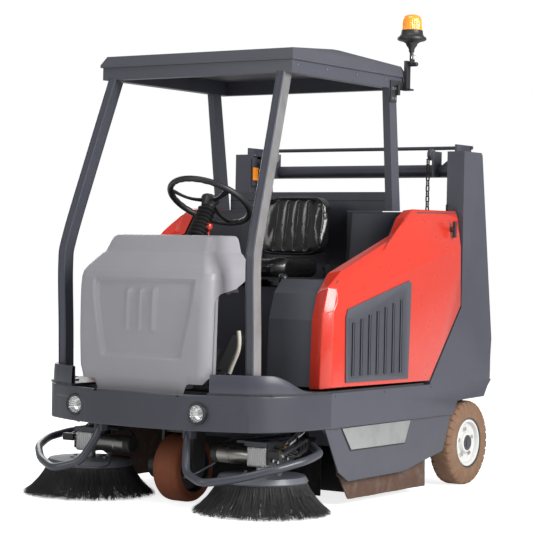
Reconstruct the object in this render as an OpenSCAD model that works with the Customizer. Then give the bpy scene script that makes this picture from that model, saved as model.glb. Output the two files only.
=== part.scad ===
// Ride-on sweeper with a driver's roof, two side brushes, a main broom and a high-lift hopper.
// +Z is up, the machine drives towards -Y, and +X is the driver's left side.
// The origin is on the ground under the middle of the machine.

/* [Body] */
// Width over the side bands
body_w = 1330; // [1200:5:1600]
// Front of the bowed apron, ahead of the origin
apron_front = 995; // [940:5:1005]
// Rear end of the side bands, behind the origin
body_rear = 1020; // [1000:5:1060]
// Height of the lower edge of the apron and the side bands
band_low = 352; // [345:1:375]
// Height of the apron and the side bands
band_h = 151; // [130:1:180]
// Distance from the origin to the vertical fold between apron and side band
fold_y = 445; // [430:5:480]
// Thickness of folded sheet metal
sheet_t = 5; // [3:0.5:6]
// Thickness of the rotomoulded covers
shell_t = 6; // [4:0.5:8]

/* [Cab] */
// Height of the underside of the canopy
roof_low = 1925; // [1800:5:2050]
// Thickness of the canopy at its highest place
roof_h = 79; // [60:1:95]
// Width of the canopy
roof_w = 1050; // [980:5:1100]
// Front edge of the canopy, ahead of the origin
roof_front = 585; // [540:5:620]
// Rear edge of the canopy, behind the origin
roof_rear = 375; // [350:5:400]
// Width of a post's outer face
post_w = 62; // [50:1:75]
// Depth of a post across the machine
post_d = 42; // [30:1:50]
// Height of the bend in the front posts
knee_z = 1087; // [1050:1:1150]
// Height of the shoulder of the nose cover
nose_shoulder = 1010; // [960:5:1040]
// Half of the width of the nose cover
nose_half = 362; // [330:2:380]
// Height of the seat cushion's underside
seat_z = 990; // [960:5:1020]
// Diameter of the steering wheel
steer_d = 400; // [360:5:420]

/* [Wheels] */
// Diameter of a rear wheel
rear_wheel_d = 405; // [380:1:430]
// Width of a rear tyre
rear_wheel_w = 118; // [100:1:130]
// Distance from the origin back to the rear axle
rear_axle_y = 826; // [800:2:850]
// Diameter of the front drive wheel
front_wheel_d = 300; // [260:2:330]
// Width of the front tyre
front_wheel_w = 130; // [100:2:140]
// Distance from the origin forward to the steering axis
steer_axis_y = 600; // [580:5:640]

/* [Brushes] */
// Radius swept by the tips of a side brush
brush_r = 302; // [280:2:315]
// Radius of a side brush's plate
disc_r = 196; // [170:2:205]
// Distance from the centre plane to a side brush's axis
brush_x = 471; // [460:1:480]
// Distance from the origin forward to the side brushes' axes
brush_y = 673; // [665:1:685]
// Diameter of the main broom
broom_d = 320; // [280:5:340]
// Length of the main broom
broom_len = 850; // [700:10:880]
// Diameter of the tube of a brush guard
guard_d = 34; // [26:1:40]

/* [Hopper and mast] */
// Height of the top of the mast columns
mast_top = 1601; // [1540:1:1660]
// Diameter of the mast's cross tube
cross_d = 63; // [50:1:70]
// Width of the hopper bin
bin_w = 890; // [800:10:890]
// Wall of the hopper bin
bin_t = 6; // [4:1:10]

/* [Fits] */
// Radial clearance of a shaft that turns in its bore
run_gap = 0.08; // [0.03:0.01:0.1]
// Gap between pieces that lie against each other on different bodies
seat_gap = 0.3; // [0.2:0.1:0.5]
// Gap kept between covers and the structure behind them
cover_gap = 8; // [6:1:10]

/* [Hidden] */
$fn = 48;

half_w = body_w / 2;
band_top = band_low + band_h;
deck_z = band_top + 9;
charcoal = [0.24, 0.25, 0.28];
black = [0.08, 0.08, 0.08];
red = [0.87, 0.2, 0.13];
grey = [0.55, 0.56, 0.58];
silver = [0.78, 0.78, 0.78];

// A copy of the children for the left side, and its mirror image for the right.
module both() { children(); mirror([1, 0, 0]) children(); }

// The children as drawn for s = 1, mirrored to the right side for s = -1.
module on_side(s) { if (s > 0) children(); else mirror([1, 0, 0]) children(); }

// A box from its low corner to its high corner.
module block(lo, hi) { translate(lo) cube(hi - lo); }

// A side view outline [y, z] given a width along x, from x0 to x1.
module side_plate(x0, x1) {
    translate([x0, 0, 0]) rotate([90, 0, 90]) linear_extrude(x1 - x0) children();
}

// A round bar from p to q.
module rod(p, q, r) {
    d = q - p;
    h = norm(d);
    translate(p) rotate([0, acos(d[2] / h), atan2(d[1], d[0])]) cylinder(h = h, r = r);
}

// A round bar bent along a route of points.
bend_r = 0.4;
module bent_tube(route, r) {
    for (i = [0 : len(route) - 2]) rod(route[i], route[i + 1], r);
    for (i = [1 : len(route) - 2]) translate(route[i]) sphere(r = r + bend_r);
}

// A round bar along x.
module axle(x0, x1, y, z, r) { translate([x0, y, z]) rotate([0, 90, 0]) cylinder(h = x1 - x0, r = r); }

// Outline of the bowed apron seen from above, inset by the given distance.
bow_reach = half_w - 135;
function bow(x) = -apron_front + 125 * pow(abs(x) / (bow_reach - 10), 2.4);
module apron_outline(inset = 0) {
    left = [[half_w - 62, -fold_y - 355], [half_w - 14, -fold_y - 195], [half_w, -fold_y]];
    right = [for (i = [2 : -1 : 0]) [-left[i][0], left[i][1]]];
    arc = [for (i = [-10 : 10]) [i * bow_reach / 10, bow(i * bow_reach / 10)]];
    offset(delta = -inset) polygon(concat(right, arc, left));
}

// ---- Chassis ----

lamp_x = 327;
lamp_z = band_low + 73;
lamp_r = 44;
arm_x0 = broom_len / 2 + 12;
shoulder_z = 1313;
rail_x = 455;
rail_w = 50;
rail_low = 372;
rail_front = 800;
rail_rear = 560;
carrier_x = half_w - 12 - rear_wheel_w - 17;
steer_r = 32;
steer_boss_h = 80;
mast_y = 704;
bar_x0 = half_w - 80;
bar_x1 = half_w - 36;
bar_y0 = mast_y + 8;
bar_y1 = bar_y0 + 56;
axle_r = 22;
wheel_z = rear_wheel_d / 2;
front_wheel_z = front_wheel_d / 2;
broom_y = 170;
broom_z = broom_d / 2;
arm_pivot_y = 500;
arm_pivot_z = 330;

module main_frame() color(charcoal) {
    difference() {
        union() {
            both() {
                block([rail_x, -rail_front, rail_low], [rail_x + rail_w, rail_rear, band_top - 1]);
                block([carrier_x - 10, rail_rear - 20, 180], [carrier_x, body_rear - 20, band_top - 1]);
                block([rail_x, rail_rear - 20, rail_low], [carrier_x, rail_rear, band_top - 1]);
                block([rail_x, -rail_front, rail_low], [brush_x + 45, -rail_front + 40, band_top - 1]);
            }
            for (y = [-rail_front, -steer_axis_y - 60, -310, arm_pivot_y - 22])
                block([-rail_x, y, band_top - 75], [rail_x, y + (y == -steer_axis_y - 60 ? 120 : 45),
                    band_top - 1]);
            translate([0, -steer_axis_y, band_top - 76 - steer_boss_h + 75])
                cylinder(h = steer_boss_h, r = 58);
        }
        translate([0, -steer_axis_y, 200]) cylinder(h = 400, r = steer_r);
        both() axle(300, half_w, arm_pivot_y, arm_pivot_z + 60, 14);
    }
    both() {
        axle(carrier_x, half_w - 14, rear_axle_y, wheel_z, axle_r);
        block([arm_x0, arm_pivot_y - 30, arm_pivot_z - 30], [arm_x0 + 12, arm_pivot_y + 30, band_top - 70]);
        axle(arm_x0 - 16, arm_x0 + 12, arm_pivot_y, arm_pivot_z, 12);
    }
    arm_hangers();
}

module front_apron() color(charcoal) difference() {
    translate([0, 0, band_low]) linear_extrude(band_h) difference() {
        apron_outline();
        apron_outline(sheet_t);
        translate([-half_w + sheet_t, -fold_y - sheet_t - 1]) square([body_w - 2 * sheet_t, 20]);
    }
    both() translate([lamp_x, -apron_front - 50, lamp_z]) rotate([-90, 0, 0]) cylinder(h = 150, r = lamp_r);
    translate([-205, -apron_front - 20, band_top - 12]) cube([455, 40, 20]);
}

// Side outline of one side band, with its wheel arch and the raised rear end.
module band_outline() difference() {
    polygon([[-fold_y + 0.5, band_low], [640, band_low], [680, band_low + 62], [770, band_low + 66],
        [945, band_low + 70], [980, band_low + 118], [body_rear - 4, band_low + 150], [body_rear - 4,
        band_top], [-fold_y + 0.5, band_top]]);
}

module side_bands() color(charcoal) both() {
    side_plate(half_w - sheet_t, half_w) band_outline();
    block([rail_x + rail_w, -fold_y + 0.5, band_top - sheet_t], [half_w - sheet_t, rail_rear - 21, band_top]);
    block([carrier_x, rail_rear - 21, band_top - sheet_t], [half_w - sheet_t, body_rear - 4, band_top]);
    block([rail_x + rail_w, -fold_y + 0.5, band_low + 5], [half_w - sheet_t, -fold_y + 6, band_top - sheet_t]);
}

module floor_platform() color(black) difference() {
    translate([0, 0, band_top]) linear_extrude(9) union() {
        apron_outline(4);
        translate([-half_w + 6, -fold_y - 10]) square([body_w - 12, fold_y + 370]);
    }
    translate([0, -steer_axis_y, band_top - 1]) cylinder(h = 20, r = 64);
    block([-nose_half - 4, -apron_front, band_top - 1], [nose_half + 4, -rail_front + 10, deck_z + 1]);
}

// Curved wall that stands on the platform's corner behind the apron and runs out to a point.
module splash_guards() color(charcoal) both() intersection() {
    translate([0, 0, deck_z]) linear_extrude(90) difference() {
        apron_outline(10);
        apron_outline(10 + sheet_t);
    }
    side_plate(375, half_w) polygon([[-apron_front, deck_z], [-550, deck_z], [-700, deck_z + 30],
        [-800, deck_z + 76], [-apron_front, deck_z + 76]]);
}

module front_posts() color(charcoal) both() {
    foot = [half_w - 158, -805, deck_z];
    knee = [half_w - 158, -825, knee_z];
    top = [roof_w / 2 - 66, -roof_front + 35, roof_low - 57];
    for (leg = [[foot, knee], [knee, top]]) hull() for (end = leg)
        translate(end - [post_d / 2, post_w / 2, 0]) cube([post_d, post_w, 1]);
    block([half_w - 200, -826, deck_z], [half_w - 130, -765, deck_z + 8]);
}

module rear_posts() color(charcoal) both() hull() {
    block([roof_w / 2 - 57, 305, shoulder_z - cover_gap], [roof_w / 2 - 20, 375, shoulder_z]);
    block([roof_w / 2 - 46, 235, roof_low - 57], [roof_w / 2 - 9, 297, roof_low - 56]);
}

module roof_frame() color(charcoal) {
    low = roof_low - 56;
    high = roof_low + 8;
    both() block([roof_w / 2 - 60, -roof_front + 9, low], [roof_w / 2 - 9, roof_rear - 9, high]);
    for (y = [-roof_front + 9, roof_rear - 49])
        block([-roof_w / 2 + 60, y, low], [roof_w / 2 - 60, y + 40, high]);
}

// Pressed canopy: a shallow tray with drawn-in edges, highest over its front third.
module roof_panel() color(charcoal) difference() {
    hull() {
        block([-roof_w / 2, -roof_front, roof_low], [roof_w / 2, roof_rear, roof_low + 12]);
        block([-roof_w / 2 + 18, -roof_front + 26, roof_low + 50], [roof_w / 2 - 18, roof_rear - 20,
            roof_low + 52]);
        block([-roof_w / 2 + 42, -200, roof_low + roof_h - 1], [roof_w / 2 - 42, -150, roof_low + roof_h]);
    }
    block([-roof_w / 2 + 8, -roof_front + 8, roof_low - 1], [roof_w / 2 - 8, roof_rear - 8, roof_low + 8]);
}

// ---- Nose, dash and driver's controls ----

// Grey moulded hood over the front of the machine: a leaning face with a visor above it.
module nose_cover() color(grey) difference() {
    union() {
        hull() {
            block([-225, -945, 492], [225, -800, 496]);
            block([-nose_half + 4, -935, 545], [nose_half - 4, -790, 549]);
            block([-nose_half, -915, nose_shoulder - 40], [nose_half, -690, nose_shoulder - 36]);
            block([-nose_half + 40, -880, nose_shoulder], [nose_half - 40, -650, nose_shoulder + 4]);
        }
        hull() {
            block([-nose_half + 40, -880, nose_shoulder], [nose_half - 40, -640, nose_shoulder + 2]);
            block([-262, -815, nose_shoulder + 150], [262, -600, nose_shoulder + 158]);
        }
    }
    hull() {
        block([-215, -945 + 2 * shell_t, 480], [215, -780, 490]);
        block([-nose_half + shell_t, -935 + 2 * shell_t, 540], [nose_half - shell_t, -760, 544]);
        block([-nose_half + shell_t, -915 + 2 * shell_t, nose_shoulder - 60],
            [nose_half - shell_t, -640, nose_shoulder - 50]);
    }
    hull() {
        block([-nose_half + 50, -860, nose_shoulder - 51], [nose_half - 50, -600, nose_shoulder - 40]);
        block([-250, -800, nose_shoulder + 140], [250, -560, nose_shoulder + 150]);
    }
}

dash_z = nose_shoulder - 60;
dash_front = 852;
dash_rear = 645;

module dash_panel() color(black) difference() {
    union() {
        hull() {
            block([-nose_half + 52, -dash_front, dash_z - 24], [nose_half - 52, -dash_rear, dash_z - 20]);
            block([-nose_half + 80, -dash_front + 40, dash_z + 60], [nose_half - 80, -dash_rear, dash_z + 64]);
        }
        block([-170, -dash_front, deck_z], [170, -rail_front + 30, dash_z - 22]);
        block([-nose_half + shell_t, -800, dash_z - 30], [nose_half - shell_t, -770, dash_z - 20]);
    }
    translate([0, col_y(dash_z + 20), dash_z + 20]) rotate([-col_tilt, 0, 0]) cylinder(h = 260, r = 48, center = true);
    translate([key_x, -dash_rear - 30, dash_z + 20]) rotate([-90, 0, 0]) cylinder(h = 60, r = key_r + run_gap);
}

key_x = 150;
key_r = 11;
module ignition_key() color(silver) translate([key_x, -dash_rear, dash_z + 20]) {
    translate([0, -29, 0]) rotate([-90, 0, 0]) cylinder(h = 41, r = key_r);
    block([-3, 12, -14], [3, 40, 14]);
}

hub_y = -440;
hub_z = 1325;
col_tilt = 30;
col_r = 22;
function col_y(z) = hub_y - (hub_z - z) * tan(col_tilt);

// The children placed on the steering column's axis, a distance below the steering wheel.
module on_column(down = 0) {
    translate([0, hub_y, hub_z]) rotate([-col_tilt, 0, 0]) translate([0, 0, -down]) children();
}

module steering_column() color(black) {
    on_column(480) cylinder(h = 445, r = col_r);
    block([-60, -steer_axis_y - 105, deck_z], [60, -steer_axis_y - steer_r - 4, dash_z - 26]);
}

module column_boot() color(black) difference() {
    on_column(190) for (i = [0 : 5]) translate([0, 0, i * 25]) {
        cylinder(h = 13, r1 = 38 - i, r2 = 46 - i);
        translate([0, 0, 12.5]) cylinder(h = 13, r1 = 46 - i, r2 = 37 - i);
    }
    on_column(200) cylinder(h = 200, r = col_r + 0.2);
}

module steering_wheel() color(black) on_column() {
    rotate_extrude() translate([steer_d / 2 - 14, 0]) circle(r = 14);
    translate([0, 0, -35 + seat_gap]) cylinder(h = 52, r = 34);
    for (a = [90, 210, 330]) rotate([0, 0, a]) translate([0, -14, -9]) cube([steer_d / 2 - 20, 28, 9]);
}

// The pedals turn on pins between two ears that stand on the floor.
pedal_y = -560;
pedal_z = deck_z + 34;
pedal_x = [70, 175];
pin_r = 6;
module pedal(x, w, h) difference() {
    union() {
        axle(x - 16, x + 16, pedal_y, pedal_z, 11);
        translate([x - w / 2, pedal_y, pedal_z]) rotate([-38, 0, 0]) translate([0, -18, 34]) cube([w, 10, h]);
        translate([x - 14, pedal_y, pedal_z]) rotate([-38, 0, 0]) translate([0, -17, -4]) cube([28, 15, 60]);
    }
    axle(x - 20, x + 20, pedal_y, pedal_z, pin_r + run_gap);
}
module accelerator_pedal() color(black) pedal(pedal_x[1], 74, 190);
module brake_pedal() color(black) pedal(pedal_x[0], 68, 110);

// ---- Driver's place ----

seat_x = 40;
bulkhead_y = 378;
console_x = 352;
inner_outline = [[-489, 519], [-479, 815], [-441, 930], [-357, 1016], [155, 1189], [216, 1272],
    [280, shoulder_z - 6], [679, shoulder_z], [688, 866], [398, 519]];
outer_outline = [[-451, 528], [-439, 860], [-394, 950], [-32, 1108], [70, 1192], [175, 1255],
    [670, 1276], [686, 866], [405, 528]];

panel_y = 302;
panel_x = 262;

// Side outline of the console: level beside the seat, and full height behind the panel.
module console_outline() difference() {
    polygon(inner_outline);
    translate([-600, seat_z + cover_gap - 5]) square([600 + panel_y - cover_gap, 500]);
}

module cab_body() color(charcoal) {
    both() {
        difference() {
            side_plate(console_x, half_w - 24) offset(delta = -cover_gap) console_outline();
            side_plate(console_x + sheet_t, half_w) offset(delta = -cover_gap - sheet_t) console_outline();
        }
        // Upright wall that closes the cover's inner edge above the console.
        side_plate(half_w - 95, half_w - 90) intersection() {
            offset(delta = -cover_gap) polygon(inner_outline);
            translate([-600, seat_z - 6]) square([601 + panel_y, 500]);
        }
        // Raised box beside the seat, against the bulkhead.
        difference() {
            block([panel_x, panel_y, seat_z - 46], [console_x + 1, bulkhead_y - 6, shoulder_z - cover_gap]);
            block([panel_x + sheet_t, panel_y + sheet_t, seat_z - 46 + sheet_t], [console_x + 2, bulkhead_y,
                shoulder_z - cover_gap - sheet_t]);
        }
    }
    both() for (y = hinge_y) {
        for (dy = [-8, hinge_len + seat_gap]) block([half_w - 40, y + dy, deck_z + 16],
            [hinge_x + hinge_pin_r, y + dy + 8 - seat_gap, hinge_z + hinge_pin_r]);
        translate([hinge_x, y - 8, hinge_z]) rotate([-90, 0, 0])
            cylinder(h = hinge_len + 16, r = hinge_pin_r);
    }
    for (x = pedal_x) {
        for (dx = [-26, 20]) block([x + dx, pedal_y - 18, deck_z], [x + dx + 6, pedal_y + 18, pedal_z + 16]);
        axle(x - 26, x + 26, pedal_y, pedal_z, pin_r);
    }
}

seat_front = -210;
seat_depth = 400;
seat_w = 410;
rail_gauge = 150;
rail_h = 20;
back_y = 175;
back_low = 1100;
back_top = 1372;
back_w = 366;
tilt_z = seat_z + 40;
tilt_r = 8;
module seat_base() color(black) {
    difference() {
        block([-console_x + 1, seat_front + 60, deck_z], [console_x - 1, bulkhead_y - 6, seat_z - 46]);
        block([-console_x + 7, seat_front + 66, deck_z - 1], [console_x - 7, bulkhead_y - 12, seat_z - 52]);
    }
    block([-console_x, bulkhead_y - 6, deck_z], [console_x, bulkhead_y, shoulder_z + 82]);
    block([-console_x - 110, bulkhead_y - 6, shoulder_z - cover_gap], [console_x + 110, bulkhead_y,
        shoulder_z + 82]);
    for (s = [-1, 1]) block([seat_x + s * rail_gauge - 12, seat_front + 70, seat_z - 46],
        [seat_x + s * rail_gauge + 12, seat_front + seat_depth + 40, seat_z - 46 + rail_h]);
}

module seat_pan() color(black) translate([seat_x, 0, 0]) {
    block([-200, seat_front + 20, seat_z - 12], [200, back_y + 30, seat_z]);
    for (s = [-1, 1]) {
        block([s * rail_gauge - 18, seat_front + 80, seat_z - 40], [s * rail_gauge - 12 - seat_gap,
            seat_front + 380, seat_z - 12]);
        block([s * rail_gauge + 12 + seat_gap, seat_front + 80, seat_z - 40], [s * rail_gauge + 18,
            seat_front + 380, seat_z - 12]);
        block([s * 196 - 4, back_y - 20, seat_z - 1], [s * 196 + 4, back_y + 20, tilt_z + 20]);
        rod([s * 193, back_y, tilt_z], [s * 176, back_y, tilt_z], tilt_r);
    }
}

module seat_cushion() color(black) translate([seat_x, 0, 0])
    block([-seat_w / 2 + 22, seat_front, seat_z], [seat_w / 2 - 22, back_y - 45, seat_z + 92]);

module backrest() color(black) translate([seat_x, 0, 0]) difference() {
    union() {
        hull() for (x = [-1, 1]) for (z = [back_low + 40, back_top - 50])
            translate([x * (back_w / 2 - 45), back_y - 30 + (z - back_low) * 0.12, z])
                rotate([-90, 0, 0]) cylinder(h = 62, r = 45, $fn = 32);
        for (s = [-1, 1]) block([s * 177 - 11, back_y - 16, tilt_z - 18], [s * 177 + 11, back_y + 12,
            back_low + 60]);
    }
    for (s = [-1, 1]) rod([s * 190, back_y, tilt_z], [s * 150, back_y, tilt_z], tilt_r + run_gap);
}

module control_lever() color(black) {
    pivot = [console_x - 30, -300, deck_z + 330];
    axle(pivot[0] - 14, console_x - seat_gap, pivot[1], pivot[2], 12);
    rod(pivot, pivot + [0, -20, 130], 7);
    translate(pivot + [0, -21, 145]) sphere(r = 22);
}

// ---- Mast and hopper ----

tray_t = 6;
tray_d = 84;
cross_y = 819;
cross_z = mast_top - 89;
cyl_x = half_w - 122;
cyl_r = 26;
cyl_rod_r = 18;
stage_lift = 450;
bin_top = cross_z - cross_d / 2 - stage_lift - 30;
bin_low = 130;
bin_front = mast_y - 20;
bin_rear = body_rear - 12;
carriage_x = bin_w / 2 + 4;
chain_x = carriage_x + 8;
chain_y = bar_y0 + 38;
pulley_r = 28;
pulley_z = mast_top - 12;

// Side outline of a mast column's cover, which carries on down beside the side cover's rear edge.
module column_outline() polygon([[mast_y - 6, mast_top], [871, mast_top], [882, mast_top - 12],
    [body_rear - 8, 700], [body_rear - 16, 610], [body_rear - 16, band_top], [412, band_top],
    [412, 514], [mast_y - 6, 857]]);

module mast_column(s) color(charcoal) on_side(s) {
    side_plate(half_w - 8, half_w) column_outline();
    difference() {
        side_plate(half_w - 8 - tray_d, half_w - 8) difference() {
            column_outline();
            offset(delta = -tray_t) column_outline();
        }
        block([bar_x0 - 30, mast_y, mast_top - 20], [half_w - 8, bar_y1 + 6, mast_top + 1]);
        block([bar_x0 - 30, mast_y, mast_top - 20], [bar_x0 + 1, cross_y + 36, mast_top + 1]);
        block([0, 420, 0], [half_w - 24 + seat_gap, mast_y - 8, 856]);
    }
    block([bar_x0 + 3, bar_y1 + 6, band_top], [half_w - 8, bar_y1 + 12, mast_top - 6]);
}
module mast_column_left() mast_column(1);
module mast_column_right() mast_column(-1);

module inner_mast() color(charcoal) {
    both() {
        block([bar_x0, bar_y0, band_top + 20], [bar_x1, bar_y1, mast_top - 12]);
        for (z = [band_top + 20, mast_top - 180]) {
            block([bar_x0 + 8, mast_y + seat_gap, z], [bar_x1 - 8, bar_y0 + 1, z + 120]);
            block([bar_x0 + 8, bar_y1 - 1, z], [bar_x1 - 8, bar_y1 + 6 - seat_gap, z + 120]);
        }
        block([bar_x0 - 12, bar_y0, cross_z - 70], [bar_x0, cross_y + 34, cross_z + 68]);
        axle(bar_x0 - 40, bar_x0 - 12, cross_y, cross_z, cross_d / 2 + 8);
        translate([cyl_x, cross_y, band_top + 30]) cylinder(h = cross_z - band_top - 45, r = cyl_rod_r);
        axle(chain_x - 9, chain_x + 9, chain_y, pulley_z, pulley_r);
        block([chain_x + 10, chain_y - 14, cross_z - 30], [chain_x + 18, cross_y, pulley_z + 16]);
        axle(chain_x - 12, chain_x + 18, chain_y, pulley_z, 8);
    }
    axle(-bar_x0 + 20, bar_x0 - 20, cross_y, cross_z, cross_d / 2);
}

// Thin bar over the mast, on two arms that rise from the inner mast's bars.
module top_crossbar() color(charcoal) {
    z = mast_top + 26;
    axle(-bar_x0 - 30, bar_x0 + 30, 870, z, 9);
    both() {
        block([bar_x0 + 14, bar_y0 + 10, mast_top - 12], [bar_x0 + 24, bar_y1, z + 9]);
        block([bar_x0 + 14, bar_y1 - 1, mast_top + 2], [bar_x0 + 24, 870, z + 9]);
    }
}

module lift_cylinders() color(black) both() difference() {
    union() {
        translate([cyl_x, cross_y, band_top]) cylinder(h = 500, r = cyl_r);
        translate([cyl_x, cross_y, band_top + 480]) cylinder(h = 26, r = cyl_r + 3);
    }
    translate([cyl_x, cross_y, band_top + 20]) cylinder(h = 500, r = cyl_rod_r + run_gap);
}

// Front runs of the two lift chains, from their anchors on the frame up to the pulleys.
module lift_chains() color(black) both() {
    block([chain_x - 7, chain_y - pulley_r - 10, band_top + 20], [chain_x + 7, chain_y - pulley_r - seat_gap,
        pulley_z]);
}

module hopper_carriage() color(charcoal) both() {
    block([carriage_x, bar_y0 + 34, band_top + 20], [carriage_x + 12, cross_y + 60, bin_top - 10]);
    for (z = [band_top + 110, bin_top - 90]) {
        block([carriage_x + 12, bar_y0 + 34, z], [bar_x0 - seat_gap, bar_y0 + 52, z + 60]);
    }
    axle(carriage_x - 3.7, carriage_x + 12, bin_rear - 60, bin_top - 50, 14);
    block([carriage_x, cross_y + 50, bin_top - 80], [carriage_x + 12, bin_rear - 35, bin_top - 20]);
}

module hopper_bin() color(charcoal) difference() {
    side_plate(-bin_w / 2, bin_w / 2) polygon([[bin_front, bin_low], [bin_rear - 60, bin_low],
        [bin_rear, bin_low + 90], [bin_rear, bin_top], [bin_front + 60, bin_top], [bin_front, bin_top - 80]]);
    side_plate(-bin_w / 2 + bin_t, bin_w / 2 - bin_t) polygon([[bin_front + bin_t, bin_low + bin_t],
        [bin_rear - 60 - bin_t, bin_low + bin_t], [bin_rear - bin_t, bin_low + 90],
        [bin_rear - bin_t, bin_top - bin_t], [bin_front + 60 + bin_t, bin_top - bin_t],
        [bin_front + bin_t, bin_top - 80 - bin_t]]);
    block([-bin_w / 2 + 30, bin_front - 5, bin_low + 20], [bin_w / 2 - 30, bin_front + 10, bin_low + 240]);
}

// ---- Lamps, skirts and beacon ----

module headlights() color(silver) both() translate([lamp_x, bow(lamp_x) - 3, lamp_z]) rotate([-90, 0, 0]) {
    difference() {
        cylinder(h = 60, r = lamp_r - seat_gap);
        translate([0, 0, -1]) cylinder(h = 45, r = lamp_r - 6);
    }
    translate([0, 0, 48]) cylinder(h = 45, r = 20);
}

module headlight_lenses() color("white") both()
    translate([lamp_x, bow(lamp_x), lamp_z]) rotate([-90, 0, 0]) cylinder(h = 5, r = lamp_r - 6 - seat_gap / 2);

module side_skirts() color(charcoal) both() {
    side_plate(half_w - 16, half_w - 10) polygon([[-475, band_low - 1], [-363, 160], [-280, 113], [200, 118],
        [560, 185], [632, band_low - 1]]);
    side_plate(half_w - 34, half_w - 16) polygon([[-475, band_low - 1], [-430, band_low - 30],
        [580, band_low - 30], [632, band_low - 1]]);
    block([rail_x + rail_w, -300, band_low - 20], [half_w - 34, -260, band_low - 12]);
    block([rail_x + rail_w, 300, band_low - 20], [half_w - 34, 340, band_low - 12]);
    for (y = [-300, 300]) block([rail_x + rail_w, y, band_low - 20], [rail_x + rail_w + 8, y + 40, rail_low + 40]);
}

module rubber_flaps() color([0.25, 0.18, 0.14]) {
    both() side_plate(half_w - 42, half_w - 34.5) polygon([[-330, band_low - 25], [-330, 140], [-222, 28],
        [440, 28], [440, band_low - 25]]);
    block([-broom_len / 2 + 20, broom_y - 285, 12], [broom_len / 2 - 20, broom_y - 277, 250]);
    block([-rail_x, broom_y - 290, 240], [rail_x, broom_y - 277 - 8, band_top - 76]);
}

beacon_x = half_w - 113;
beacon_y = 372;
pivot_z = roof_low + 62;
beacon_r = 47;
module beacon_bracket() color(black) {
    x0 = roof_w / 2 - 9;
    block([x0, 240, roof_low - 120], [x0 + 6, 296, roof_low - 20]);
    block([x0, 280, roof_low - 60], [x0 + 6, 372, roof_low - 20]);
    difference() {
        block([roof_w / 2 + 3, beacon_y - 26, roof_low - 60], [beacon_x - 9 - seat_gap, beacon_y - 10,
            pivot_z + 16]);
        rod([beacon_x - 13, beacon_y - 40, pivot_z], [beacon_x - 13, beacon_y, pivot_z], 2);
    }
    block([x0, beacon_y - 26, roof_low - 60], [beacon_x + 10, beacon_y + 10, roof_low - 52]);
    block([beacon_x - 9 - seat_gap - 6, beacon_y - 26, roof_low - 60], [beacon_x - 9 - seat_gap,
        beacon_y + 10, pivot_z + 16]);
    axle(beacon_x - 12, beacon_x + 26, beacon_y, pivot_z, 5);
}

module beacon_stem() color(black) difference() {
    translate([beacon_x, beacon_y, 0]) {
        translate([0, 0, pivot_z - 14]) cylinder(h = 80, r = 9);
        translate([0, 0, pivot_z + 56]) cylinder(h = 30, r1 = 12, r2 = 20);
        translate([0, 0, pivot_z + 85]) cylinder(h = 30, r1 = 22, r2 = 66);
        translate([0, 0, pivot_z + 114]) cylinder(h = 12, r = 68);
        translate([0, 0, pivot_z + 125]) cylinder(h = 34, r1 = 66, r2 = beacon_r + 2);
    }
    axle(beacon_x - 20, beacon_x + 20, beacon_y, pivot_z, 5 + run_gap);
}

module beacon_dome() color("orange") translate([beacon_x, beacon_y, pivot_z + 159]) rotate_extrude() {
    polygon([[0, 0], [beacon_r, 0], [beacon_r - 4, 52], [beacon_r - 8, 64], [beacon_r - 18, 72], [0, 73]]);
}

// ---- Side brushes ----

disc_z = 132;
motor_z = 236;
brush_arm_y = -395;
brush_arm_z = 318;

// Bent tube around the front of each side brush.
module brush_guards() color(charcoal) both() {
    r = guard_d / 2;
    $fn = 20;
    y0 = -rear_axle_y - rear_wheel_d / 2 + r + bend_r;
    bent_tube([[238, -885, band_low - 4], [242, -905, 290], [285, -968, 178], [400, y0, 146], [540, -930, 172],
        [650, -820, 210], [702, -690, 238], [690, -560, 258], [rail_x + 120, -460, 276],
        [rail_x + 90, -400, 285]], r);
    block([218, -905, band_low - 40], [262, -862, band_low + 60]);
    block([218, -880, band_low + 52], [262, -rail_front + 2, band_low + 60]);
    block([rail_x + rail_w, -432, 262], [rail_x + rail_w + 10, -380, rail_low + 30]);
    block([rail_x + rail_w, -425, 268], [rail_x + 100, -395, 300]);
}

module brush_arm(s) color(charcoal) on_side(s) difference() {
    union() {
        block([brush_x - 118, brush_arm_y - 20, brush_arm_z - 16], [brush_x - 30, brush_arm_y + 20,
            brush_arm_z + 16]);
        block([brush_x - 106, -brush_y - 40, motor_z + 56], [brush_x - 42, brush_arm_y, motor_z + 66]);
        block([brush_x - 60, -brush_y - 50, motor_z + 46], [brush_x + 50, -brush_y + 50, motor_z + 66]);
    }
    axle(brush_x - 130, brush_x - 20, brush_arm_y, brush_arm_z, 10 + run_gap);
}
module brush_arm_left() brush_arm(1);
module brush_arm_right() brush_arm(-1);

// Pin and ears that carry each brush arm, below the chassis rails.
module arm_hangers() both() {
    for (x = [brush_x - 128, brush_x - 29])
        block([x, brush_arm_y - 20, brush_arm_z - 22], [x + 9, brush_arm_y + 20, rail_low + 6]);
    axle(brush_x - 128, brush_x - 20, brush_arm_y, brush_arm_z, 10);
    block([brush_x - 128, brush_arm_y - 20, rail_low + 4], [brush_x - 10, brush_arm_y + 20, rail_low + 12]);
}

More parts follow.
